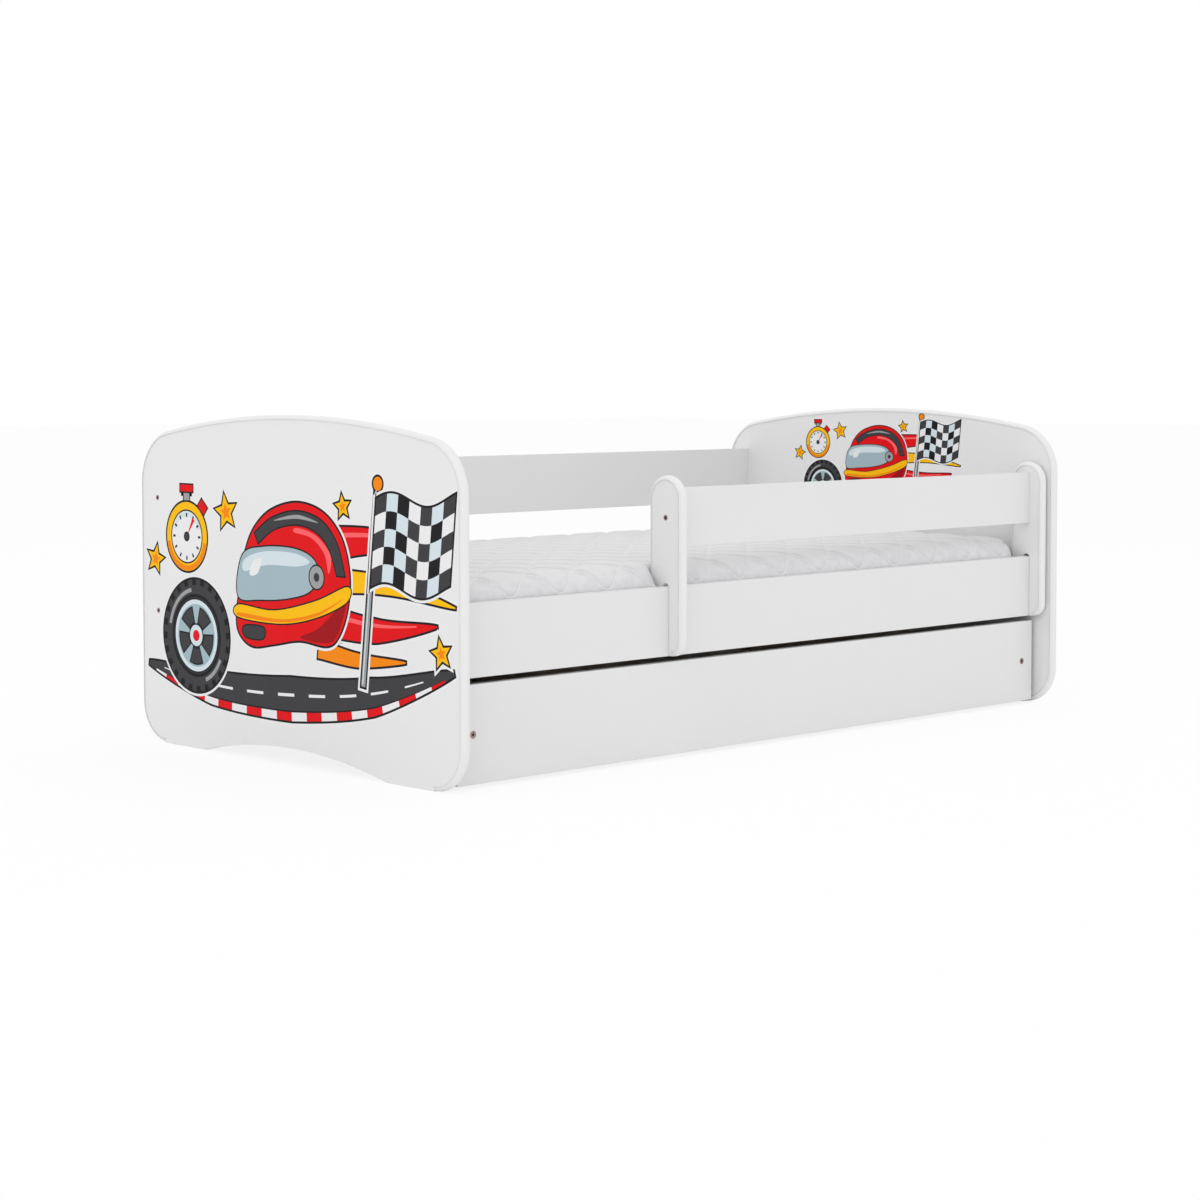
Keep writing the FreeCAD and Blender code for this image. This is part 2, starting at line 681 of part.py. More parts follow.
def castor_housing(place):
    plate_block = box(
        (place.x - CASTOR_HALF_WIDTH, place.x + CASTOR_HALF_WIDTH),
        (place.y - CASTOR_PLATE_LENGTH / 2, place.y + CASTOR_PLATE_LENGTH / 2),
        (CASTOR_PLATE_BOTTOM, DRAWER_UNDERSIDE),
    )
    for side in (-1, 1):
        start = place.x + side * CHEEK_INNER
        end = place.x + side * CHEEK_OUTER
        web = box(
            (start, end),
            (place.y - CHEEK_HALF_WIDTH, place.y + CHEEK_HALF_WIDTH),
            (place.z, CASTOR_PLATE_BOTTOM),
        )
        nose_start = vec(min(start, end), place.y, place.z)
        nose = rod(nose_start, X_AXIS, CHEEK_HALF_WIDTH, CHEEK_THICKNESS)
        plate_block = plate_block.fuse(web).fuse(nose)
    axle_hole = rod(
        vec(place.x - CHEEK_OUTER, place.y, place.z), X_AXIS, AXLE_RADIUS + SCREW_FIT, 2 * CHEEK_OUTER
    )
    tools = [axle_hole] + [castor_screw_hole(p) for p in castor_screw_points(place)]
    return cut_all(plate_block.removeSplitter(), tools)


def castor_axle(place):
    return rod(vec(place.x - CHEEK_OUTER, place.y, place.z), X_AXIS, AXLE_RADIUS, 2 * CHEEK_OUTER)


def castor_wheel(place):
    left = vec(place.x - WHEEL_WIDTH / 2, place.y, place.z)
    wheel = rod(left, X_AXIS, WHEEL_RADIUS, WHEEL_WIDTH)
    rims = [edge for edge in wheel.Edges if edge.Closed]
    wheel = wheel.makeChamfer(WHEEL_RIM_CHAMFER, rims)
    tools = [rod(left, X_AXIS, AXLE_RADIUS + AXLE_FIT, WHEEL_WIDTH)]
    for i in range(WHEEL_HOLE_COUNT):
        angle = 2 * math.pi * i / WHEEL_HOLE_COUNT
        offset = vec(0, math.cos(angle), math.sin(angle)) * WHEEL_HOLE_CIRCLE
        tools.append(rod(left + offset, X_AXIS, WHEEL_HOLE_RADIUS, WHEEL_WIDTH))
    return cut_all(wheel, tools)


def build_castors():
    names = ("front_left", "front_right", "back_left", "back_right")
    places = castor_places()
    for name, place in zip(names, places):
        save("castor_housing_" + name, castor_housing(place))
        save("castor_wheel_" + name, castor_wheel(place))
    save("castor_axles", [castor_axle(place) for place in places])
    save("castor_screws", [castor_screw(p) for place in places for p in castor_screw_points(place)])


# Mattress


def mattress_section(x, half_width, top):
    """Closed outline across the mattress: flat below, full sides, round shoulders, crowned top."""
    middle = (MATTRESS_BOTTOM + top - MATTRESS_SHOULDER) / 2
    slant = MATTRESS_SHOULDER * (1 - math.sqrt(0.5))

    def side(turn):
        foot = vec(x, turn * (half_width - MATTRESS_SIDE_BULGE), MATTRESS_BOTTOM)
        belly = vec(x, turn * (half_width - MATTRESS_SIDE_BULGE / 4), middle)
        widest = vec(x, turn * half_width, top - MATTRESS_SHOULDER)
        bend = vec(x, turn * (half_width - slant), top - slant)
        edge = vec(x, turn * (half_width - MATTRESS_SHOULDER), top)
        return foot, belly, widest, bend, edge

    left = side(-1)
    right = side(1)
    return Part.Wire(
        [
            line_edge(left[0], right[0]),
            Part.Arc(right[0], right[1], right[2]).toShape(),
            Part.Arc(right[2], right[3], right[4]).toShape(),
            Part.Arc(right[4], vec(x, 0, top + MATTRESS_CROWN), left[4]).toShape(),
            Part.Arc(left[4], left[3], left[2]).toShape(),
            Part.Arc(left[2], left[1], left[0]).toShape(),
        ]
    )


def mattress_body():
    """Mattress with round corners and ends and a straight crowned length between."""
    top = MATTRESS_BOTTOM + MATTRESS_EDGE_HEIGHT
    stations = []
    for angle in (90.0, 67.5, 45.0, 22.5, 0.0):
        turn = math.radians(angle)
        inward = MATTRESS_CORNER * (1 - math.sin(turn))
        half_width = MATTRESS_WIDTH / 2 - MATTRESS_CORNER * (1 - math.cos(turn))
        share = max(0.0, 1 - inward / MATTRESS_SHOULDER)
        drop = MATTRESS_END_DROP * (1 - math.sqrt(1 - share ** 2))
        stations.append((MATTRESS_LENGTH / 2 - inward, half_width, top - drop))
    sections = [mattress_section(-x, width, height) for x, width, height in stations]
    sections += [mattress_section(x, width, height) for x, width, height in reversed(stations)]
    return Part.makeLoft(sections, True, True)


def crown_height(y):
    """Height of the mattress top at a distance from its middle line."""
    half = MATTRESS_WIDTH / 2 - MATTRESS_SHOULDER
    radius = (half ** 2 + MATTRESS_CROWN ** 2) / (2 * MATTRESS_CROWN)
    edge = MATTRESS_BOTTOM + MATTRESS_EDGE_HEIGHT
    return edge + MATTRESS_CROWN - radius + math.sqrt(radius ** 2 - y ** 2)


def quilt_channel(y_middle, direction):
    """One sewn line along the mattress: a waved strip of arcs, ready to be cut out."""
    half_wave = QUILT_LENGTH / 2
    swing = (QUILT_WIDTH / 2 - QUILT_LINE_GAP) / 2
    radius = (half_wave ** 2 / 4 + swing ** 2) / (2 * swing)
    lean = math.asin(half_wave / 2 / radius)
    waves = int((MATTRESS_LENGTH - 2 * MATTRESS_CORNER) // half_wave)
    start_x = QUILT_PHASE - waves * half_wave / 2
    depth_z = crown_height(abs(y_middle)) - CHANNEL_DEPTH
    half_channel = CHANNEL_WIDTH / 2

    def node(i, side):
        turn = direction * (-1) ** i
        across_x = -turn * math.sin(lean) * half_channel * side
        across_y = math.cos(lean) * half_channel * side
        return vec(start_x + i * half_wave + across_x, y_middle + across_y, depth_z)

    def crest(i, side):
        turn = direction * (-1) ** i
        return vec(start_x + (i + 0.5) * half_wave, y_middle + turn * swing + side * half_channel, depth_z)

    ahead = [Part.Arc(node(i, 1), crest(i, 1), node(i + 1, 1)).toShape() for i in range(waves)]
    behind = [Part.Arc(node(i + 1, -1), crest(i, -1), node(i, -1)).toShape() for i in reversed(range(waves))]
    end_line = line_edge(node(waves, 1), node(waves, -1))
    start_line = line_edge(node(0, -1), node(0, 1))
    outline = Part.Wire(ahead + [end_line] + behind + [start_line])
    return Part.Face(outline).extrude(Z_AXIS * (MATTRESS_CROWN + CHANNEL_DEPTH))


def upright_dents():
    """Room in the mattress for the rear legs of the guard uprights, open upward and to the front."""
    reach = -RAIL_Y + UPRIGHT_HALF_WIDTH + DENT_CLEARANCE
    half = UPRIGHT_THICKNESS / 2 + EDGING_LIP_THICKNESS + DENT_CLEARANCE
    flared = half + DENT_FLARE
    height = MATTRESS_EDGE_HEIGHT + 2 * MATTRESS_CROWN
    dents = []
    for middle in (GUARD_LEFT + UPRIGHT_THICKNESS / 2, GUARD_RIGHT - UPRIGHT_THICKNESS / 2):
        plan = [(-flared, -INNER_Y), (flared, -INNER_Y), (half, reach), (-half, reach), (-flared, -INNER_Y)]
        outline = Part.makePolygon([vec(middle + x, y, MATTRESS_BOTTOM) for x, y in plan])
        dents.append(Part.Face(outline).extrude(Z_AXIS * height))
    return dents


def build_mattress():
    spacing = QUILT_WIDTH / 2
    swing = (spacing - QUILT_LINE_GAP) / 2
    quilted_half = MATTRESS_WIDTH / 2 - MATTRESS_SHOULDER - swing - QUILT_MARGIN
    lines_per_half = int(quilted_half // spacing)
    channels = []
    for i in range(-lines_per_half, lines_per_half):
        channels.append(quilt_channel((i + 0.5) * spacing, 1 if i % 2 else -1))
    body = cut_all(mattress_body(), upright_dents())
    save("mattress", body.cut(Part.makeCompound(channels)))


os.makedirs("parts", exist_ok=True)
build_frame()
build_guard()
build_drawer()
build_castors()
build_mattress()
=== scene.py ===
import json
import math

import bmesh
import bpy
import numpy as np
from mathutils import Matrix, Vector, noise


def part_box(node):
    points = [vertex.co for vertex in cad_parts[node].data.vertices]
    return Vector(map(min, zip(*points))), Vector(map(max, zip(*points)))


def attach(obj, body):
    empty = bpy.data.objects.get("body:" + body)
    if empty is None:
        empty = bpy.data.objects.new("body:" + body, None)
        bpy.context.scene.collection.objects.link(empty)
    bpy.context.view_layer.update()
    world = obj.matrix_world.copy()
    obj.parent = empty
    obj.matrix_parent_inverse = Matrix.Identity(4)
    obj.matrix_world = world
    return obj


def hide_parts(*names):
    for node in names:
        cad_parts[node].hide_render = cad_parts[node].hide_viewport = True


# Looks of a child's single bed: materials for the CAD nodes, a quilted mattress and two prints.
# Metres, in the frame of the CAD: +X is the head end, -Y the open front, Z is up.

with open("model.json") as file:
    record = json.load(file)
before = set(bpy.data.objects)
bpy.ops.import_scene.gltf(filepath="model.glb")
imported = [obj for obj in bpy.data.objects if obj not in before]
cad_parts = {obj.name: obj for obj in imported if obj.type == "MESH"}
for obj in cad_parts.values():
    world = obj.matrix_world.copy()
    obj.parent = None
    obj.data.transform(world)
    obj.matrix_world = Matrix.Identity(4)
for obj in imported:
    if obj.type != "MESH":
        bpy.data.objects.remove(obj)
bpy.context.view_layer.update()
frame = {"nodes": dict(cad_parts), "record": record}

# Camera at the photograph's viewing angle
CAMERA_PLACE = (-3.42566, -3.48862, 0.67755)
CAMERA_YAW = 0.7871
CAMERA_PITCH = 0.0481
CAMERA_LENS = 73.504
SENSOR_WIDTH = 36.0
CAMERA_SHIFT = (-0.041667, -0.083333)

# Light
DOME_STRENGTH = 0.895
KEY_PLACE = (-8.0, -4.2, 5.2)
KEY_TARGET = (0.0, 0.0, 0.3)
KEY_SIZE = 5.0
KEY_POWER = 84.0
OVERHEAD_PLACE = (0.4, 0.1, 4.5)
OVERHEAD_TARGET = (0.4, 0.1, 0.0)
OVERHEAD_SIZE = 5.0
OVERHEAD_POWER = 18.0
FLOOR_SIZE = 60.0
FLOOR_SHARE_WHITE = 0.86

# Quilting of the mattress cover, as the channels in the CAD solid
QUILT_SPACING = 0.0525
QUILT_SWING = 0.02225
QUILT_HALF_WAVE = 0.057
QUILT_PHASE = 0.026
QUILT_SHIFT = 0.5
QUILT_LINES_TOP = 6.75
QUILT_LINES_SIDE = 2
ROW_SHARES = (0.0, 0.06, 0.14, 0.25, 0.5, 0.75, 0.86, 0.94)
SEAM_HALF_WIDTH = 0.0012
CREASE_REACH = 0.006
# Reach of the painted shade along the sewn lines
SEAM_SHADE_REACH = 0.024
STITCH_PITCH = 0.0042
THREAD_PITCH = 0.0013

# Form of the mattress piece
SIDE_ROOM = 0.0015
CORNER_RADIUS = 0.056
CROWN = 0.005
END_CROWN_LOSS = 0.6
END_DROP = 0.002
END_DROP_LENGTH = 0.16
BACK_DROP = 0.002
FOOT_DRAW = 0.008
PUFF = 0.0028
PUFF_WIDTH = 0.006
UNEVENNESS = 0.0012
UNEVENNESS_SCALE = (5, 7, 7)
COLUMN_STEP = 0.0072
DENT_STEP = 0.0018
DENT_REACH = 0.030
DENT_GAP = 0.0025
DENT_FLANK = 0.008
DENT_SOFTNESS = 0.003
DENT_HOLLOW = 0.010
DENT_HOLLOW_WIDTH = 0.014
DENT_HOLLOW_HEIGHT = (0.311, 0.352)

# Cloth simulation that swells the mattress cover
CLOTH_FRAMES = 12
CLOTH_QUALITY = 2
CLOTH_MASS = 0.004
CLOTH_STRETCH_STIFFNESS = 6
CLOTH_SHEAR_STIFFNESS = 3
CLOTH_BENDING_STIFFNESS = 0.1
CLOTH_PRESSURE = 60.0
SWELL_LIMIT = 0.003

# Prints on the end boards: border and lines in millimetres, layer and places in metres
PRINT_BORDER = 8.5
PRINT_LINE = 4.0
PRINT_FINE_LINE = 2.8
PRINT_LAYER = 0.00002
FOOT_PRINT_PLACE = (0.0, 0.300)
HEAD_PRINT_PLACE = (-0.019, 0.4915)
HEAD_PRINT_SCALE = 0.534

MILLIMETRE = 0.001
TINY = 1e-9


# Materials


class Shader:
    """A node material in the making, with short calls for the nodes that it needs."""

    def __init__(self, name):
        self.material = bpy.data.materials.new(name)
        self.material.use_nodes = True
        self.tree = self.material.node_tree
        self.surface = self.tree.nodes["Principled BSDF"]

    def put(self, socket, value):
        if isinstance(value, bpy.types.NodeSocket):
            self.tree.links.new(value, socket)
        else:
            socket.default_value = value

    def set(self, **inputs):
        for name, value in inputs.items():
            self.put(self.surface.inputs[name.replace("_", " ")], value)

    def node(self, kind, **inputs):
        made = self.tree.nodes.new("ShaderNode" + kind)
        for name, value in inputs.items():
            self.put(made.inputs[name.replace("_", " ")], value)
        return made

    def place(self, scale=(1.0, 1.0, 1.0)):
        """Place on the object in metres, stretched by a factor on each axis."""
        coordinates = self.node("TexCoord").outputs["Object"]
        return self.node("Mapping", Vector=coordinates, Scale=scale).outputs[0]

    def math(self, operation, *values):
        made = self.tree.nodes.new("ShaderNodeMath")
        made.operation = operation
        for socket, value in zip(made.inputs, values):
            self.put(socket, value)
        return made.outputs[0]

    def ripple(self, value, pitch):
        """A sine wave that repeats after a pitch."""
        return self.math("SINE", self.math("MULTIPLY", value, 2 * math.pi / pitch))

    def noise(self, vector, scale, detail=2.0, distortion=0.0):
        made = self.node("TexNoise", Vector=vector, Scale=scale, Detail=detail, Distortion=distortion)
        return made.outputs[0]

    def wave(self, vector, scale, direction, distortion=0.0):
        made = self.node("TexWave", Vector=vector, Scale=scale, Distortion=distortion)
        made.bands_direction = direction
        return made.outputs["Fac"]

    def remap(self, value, low, high, to_low=0.0, to_high=1.0):
        made = self.node("MapRange", Value=value, From_Min=low, From_Max=high)
        self.put(made.inputs["To Min"], to_low)
        self.put(made.inputs["To Max"], to_high)
        return made.outputs[0]

    def spread(self, pattern, low=0.0, high=1.0):
        """A noise, which keeps to the middle of its range, spread between two values."""
        return self.remap(pattern, 0.3, 0.7, low, high)

    def mix(self, factor, first, second):
        """Mix of two colours: the numbers are the node's sockets for colours."""
        made = self.tree.nodes.new("ShaderNodeMix")
        made.data_type = "RGBA"
        self.put(made.inputs[0], factor)
        self.put(made.inputs[6], first)
        self.put(made.inputs[7], second)
        return made.outputs[2]

    def bump(self, height, distance, normal=None):
        made = self.node("Bump", Distance=distance, Height=height)
        if normal is not None:
            self.put(made.inputs["Normal"], normal)
        return made.outputs[0]

    def soft_edge(self, radius):
        """Normal with the edges rounded off."""
        made = self.node("Bevel", Radius=radius)
        made.samples = 4
        return made.outputs[0]


def colour(red, green, blue):
    return (red, green, blue, 1.0)


def white_laminate():
    """Satin white laminate: faint clouding, orange peel, slightly eased edges."""
    shader = Shader("white_board")
    place = shader.place()
    clouds = shader.noise(place, 4.0)
    patches = shader.noise(place, 45.0)
    peel = shader.noise(place, 650.0)
    shader.set(Base_Color=shader.mix(clouds, colour(0.792, 0.792, 0.794), colour(0.812, 0.812, 0.812)))
    shader.set(Roughness=shader.spread(patches, 0.36, 0.44))
    shader.set(Normal=shader.bump(peel, 0.00005, shader.soft_edge(0.0008)))
    return shader.material


def soft_edging():
    """White satin soft plastic with faint drawn streaks and lips that round off towards the board."""
    shader = Shader("edging_plastic")
    place = shader.place()
    clouds = shader.noise(place, 9.0)
    streaks = shader.noise(place, 380.0, detail=3.0)
    shader.set(Base_Color=shader.mix(clouds, colour(0.825, 0.825, 0.827), colour(0.845, 0.845, 0.845)))
    shader.set(Roughness=shader.spread(streaks, 0.40, 0.50))
    shader.set(Normal=shader.bump(streaks, 0.00006, shader.soft_edge(0.0028)))
    return shader.material


def sawn_wood(name, pale, dark, stretch):
    """Sanded wood with grain along the axis that is stretched least."""
    shader = Shader(name)
    grain_place = shader.place(stretch)
    bands = shader.wave(grain_place, 1.3, "DIAGONAL", 9.0)
    fibres = shader.noise(grain_place, 9.0, detail=6.0, distortion=0.4)
    pores = shader.noise(grain_place, 42.0, detail=3.0)
    figure = shader.math("ADD", shader.math("MULTIPLY", bands, 0.45), shader.math("MULTIPLY", fibres, 0.55))
    shader.set(Base_Color=shader.mix(shader.remap(figure, 0.25, 0.8), pale, dark))
    shader.set(Roughness=shader.spread(pores, 0.50, 0.66))
    shader.set(Normal=shader.bump(pores, 0.0002))
    return shader.material


def pressed_fibre():
    """Uncoated wood fibre board: short matted fibres and darker flecks."""
    shader = Shader("raw_fibreboard")
    place = shader.place()
    matted = shader.noise(place, 240.0, detail=6.0, distortion=1.2)
    flecks = shader.remap(shader.noise(place, 520.0, detail=2.0), 0.58, 0.70)
    patches = shader.noise(place, 12.0)
    felt = shader.mix(matted, colour(0.17, 0.095, 0.045), colour(0.27, 0.165, 0.085))
    aged = shader.mix(shader.math("MULTIPLY", patches, 0.3), felt, colour(0.22, 0.125, 0.06))
    shader.set(Base_Color=shader.mix(shader.math("MULTIPLY", flecks, 0.5), aged, colour(0.10, 0.055, 0.028)))
    shader.set(Roughness=shader.spread(matted, 0.66, 0.82))
    shader.set(Normal=shader.bump(matted, 0.0002))
    return shader.material


def woven_tape():
    """Woven cotton tape: crossed threads about a millimetre wide."""
    shader = Shader("webbing")
    place = shader.place()
    warp = shader.wave(place, 160.0, "X")
    weft = shader.wave(place, 160.0, "Y")
    threads = shader.math("MULTIPLY", warp, weft)
    fuzz = shader.noise(place, 900.0)
    shader.set(Base_Color=shader.mix(threads, colour(0.56, 0.54, 0.49), colour(0.76, 0.74, 0.69)))
    shader.set(Roughness=shader.spread(fuzz, 0.82, 0.95))
    shader.set(Normal=shader.bump(threads, 0.0004))
    return shader.material


def turned_steel(name, base, worn, roughness):
    """Plated steel with fine turning marks and a slightly uneven tint."""
    shader = Shader(name)
    place = shader.place()
    tint = shader.noise(place, 220.0)
    marks = shader.noise(place, 2600.0, detail=1.0)
    shader.set(Metallic=1.0)
    shader.set(Base_Color=shader.mix(tint, base, worn))
    shader.set(Roughness=shader.spread(marks, roughness - 0.06, roughness + 0.08))
    shader.set(Normal=shader.bump(marks, 0.00004, shader.soft_edge(0.0003)))
    return shader.material


def moulded_plastic(name, low, high):
    """Dark hard plastic with a fine moulded grain."""
    shader = Shader(name)
    place = shader.place()
    clouds = shader.noise(place, 60.0)
    grain = shader.noise(place, 1500.0)
    shader.set(Base_Color=shader.mix(clouds, low, high))
    shader.set(Roughness=shader.spread(grain, 0.38, 0.52))
    shader.set(Normal=shader.bump(grain, 0.00006, shader.soft_edge(0.0005)))
    return shader.material


def quilt_distance(shader, along, across):
    """Distance from the nearest sewn line, how far the line runs lengthwise, and which way it leans."""
    counted = shader.math("SUBTRACT", shader.math("DIVIDE", across, QUILT_SPACING), QUILT_SHIFT)
    line = shader.math("ROUND", counted)
    odd = shader.math("FLOORED_MODULO", line, 2.0)
    side = shader.math("SUBTRACT", shader.math("MULTIPLY", odd, 2.0), 1.0)
    angle = shader.math("MULTIPLY", shader.math("SUBTRACT", along, QUILT_PHASE), math.pi / QUILT_HALF_WAVE)
    wave = shader.math("COSINE", angle)
    swing = shader.math("MULTIPLY", shader.math("MULTIPLY", wave, side), QUILT_SWING)
    straight = shader.math("MULTIPLY", shader.math("ADD", line, QUILT_SHIFT), QUILT_SPACING)
    middle = shader.math("ADD", straight, swing)
    distance = shader.math("ABSOLUTE", shader.math("SUBTRACT", across, middle))
    lean = shader.math("MULTIPLY", side, shader.math("SINE", angle))
    return distance, shader.math("MULTIPLY", wave, wave), lean


def cotton_tone_with_painted_shade(shader, clouds, distance, lean):
    """Colour of the cloth: more even on top, painted shade on the slopes and sides, and painted shade in the
    hollows along the sewn lines, stronger on one flank of each line.
    """
    # Painted shade: the cloth's colour is darker on the slopes and sides than on top, set by which way the
    # surface faces.
    shaded_side_tone = shader.mix(clouds, colour(0.722, 0.718, 0.743), colour(0.804, 0.802, 0.816))
    top_tone = shader.mix(clouds, colour(0.765, 0.764, 0.770), colour(0.789, 0.788, 0.792))
    facing = shader.node("SeparateXYZ", Vector=shader.node("TexCoord").outputs["Normal"])
    on_top = shader.remap(facing.outputs["Z"], 0.6, 0.9)
    # cloth is the cloth's colour with the painted shade of the slopes and sides mixed in.
    cloth = shader.mix(on_top, shaded_side_tone, top_tone)
    # Painted shade in the hollows along the sewn lines, stronger on one flank of each line and on top.
    seam_shade = shader.remap(distance, CREASE_REACH, SEAM_SHADE_REACH, 1.0, 0.0)
    one_flank_shade = shader.math("MULTIPLY", seam_shade, shader.remap(lean, -0.5, 0.5, 0.08, 1.0))
    depth = shader.math("MULTIPLY", one_flank_shade, shader.remap(on_top, 0.0, 1.0, 0.12, 0.5))
    # depth is the strength of the painted shade; the grey colour is the painted shade colour.
    return shader.mix(depth, cloth, colour(0.60, 0.59, 0.61))


def quilted_cotton():
    """White quilted cover: fine weave, a more even tone on top with painted shade on the slopes and sides,
    painted shade in the hollows along the sewn lines, and sewn lines with single stitches.
    """
    shader = Shader("quilted_cover")
    sheet = shader.node("UVMap")
    sheet.uv_map = "sheet"
    split = shader.node("SeparateXYZ", Vector=sheet.outputs[0])
    along, across = split.outputs["X"], split.outputs["Y"]
    distance, lengthwise, lean = quilt_distance(shader, along, across)
    near = shader.remap(distance, 0.0, CREASE_REACH, 1.0, 0.0)
    crease = shader.math("MULTIPLY", near, shader.remap(lengthwise, 0.2, 1.0, 0.25, 1.0))
    line = shader.remap(distance, SEAM_HALF_WIDTH, 2 * SEAM_HALF_WIDTH, 1.0, 0.0)
    beat = shader.ripple(along, STITCH_PITCH)
    stitch = shader.math("MULTIPLY", line, shader.remap(beat, -0.9, -0.5))
    warp = shader.ripple(along, THREAD_PITCH)
    weft = shader.ripple(across, THREAD_PITCH)
    weave = shader.math("MULTIPLY", warp, weft)
    place = shader.place()
    pile = shader.noise(place, 420.0, detail=4.0)
    clouds = shader.spread(shader.noise(place, 60.0, detail=4.0))
    # tone holds the cloth's colour with the painted shade of the slopes, the sides and the sewn lines.
    tone = cotton_tone_with_painted_shade(shader, clouds, distance, lean)
    shader.set(Base_Color=shader.mix(stitch, tone, colour(0.90, 0.90, 0.91)))
    shader.set(Roughness=shader.spread(pile, 0.82, 0.94))
    shader.set(Sheen_Weight=0.15, Sheen_Roughness=0.5, Specular_IOR_Level=0.25)
    thread_height = shader.math("MULTIPLY", stitch, 0.9)
    fuzz = shader.math("MULTIPLY", pile, 0.5)
    cloth_height = shader.math("ADD", shader.math("MULTIPLY", weave, 0.10), fuzz)
    surface_height = shader.math("ADD", thread_height, cloth_height)
    height = shader.math("SUBTRACT", surface_height, shader.math("MULTIPLY", crease, 1.2))
    shader.set(Normal=shader.bump(height, 0.0006))
    return shader.material


def print_ink(name, tone):
    """Printed film: an even tone with a faint rosette of the press and a satin top."""
    shader = Shader("print_" + name)
    place = shader.place()
    press = shader.noise(place, 1400.0, detail=1.0)
    patches = shader.noise(place, 30.0)
    darker = colour(*(0.93 * part for part in tone))
    shader.set(Base_Color=shader.mix(shader.remap(press, 0.35, 0.65), darker, colour(*tone)))
    shader.set(Roughness=shader.spread(patches, 0.42, 0.52), Specular_IOR_Level=0.08)
    shader.set(Normal=shader.bump(press, 0.00002))
    return shader.material


def slot_materials():
    """One material for each material slot of the record."""
    along_y = (60.0, 4.0, 60.0)
    along_x = (4.0, 60.0, 60.0)
    warm_steel = (colour(0.30, 0.215, 0.20), colour(0.41, 0.31, 0.285))
    bright_steel = (colour(0.55, 0.55, 0.56), colour(0.66, 0.66, 0.67))
    black = (colour(0.012, 0.012, 0.013), colour(0.022, 0.022, 0.024))
    dark_grey = (colour(0.04, 0.04, 0.042), colour(0.06, 0.06, 0.063))
    return {
        "white_board": white_laminate(),
        "edging_plastic": soft_edging(),
        "beech": sawn_wood("beech", colour(0.66, 0.47, 0.29), colour(0.50, 0.31, 0.165), along_y),
        "pine": sawn_wood("pine", colour(0.74, 0.56, 0.33), colour(0.58, 0.36, 0.16), along_x),
        "raw_fibreboard": pressed_fibre(),
        "webbing": woven_tape(),
        "screw_steel": turned_steel("screw_steel", *warm_steel, 0.34),
        "axle_steel": turned_steel("axle_steel", *bright_steel, 0.28),
        "wheel_plastic": moulded_plastic("wheel_plastic", *black),
        "housing_plastic": moulded_plastic("housing_plastic", *dark_grey),
        "quilted_cover": quilted_cotton(),
    }


def dress_nodes(materials):
    """Give every CAD node the material of its slot."""
    for part in frame["record"]["subparts"]:
        for slot in frame["nodes"][part["node"]].material_slots:
            slot.material = materials[part["material_slot"]]


# Pieces


def new_piece(name, mesh, materials):
    """An object in the scene with its materials in order."""
    piece = bpy.data.objects.new(name, mesh)
    bpy.context.scene.collection.objects.link(piece)
    for material in materials:
        mesh.materials.append(material)
    return piece


# Mattress


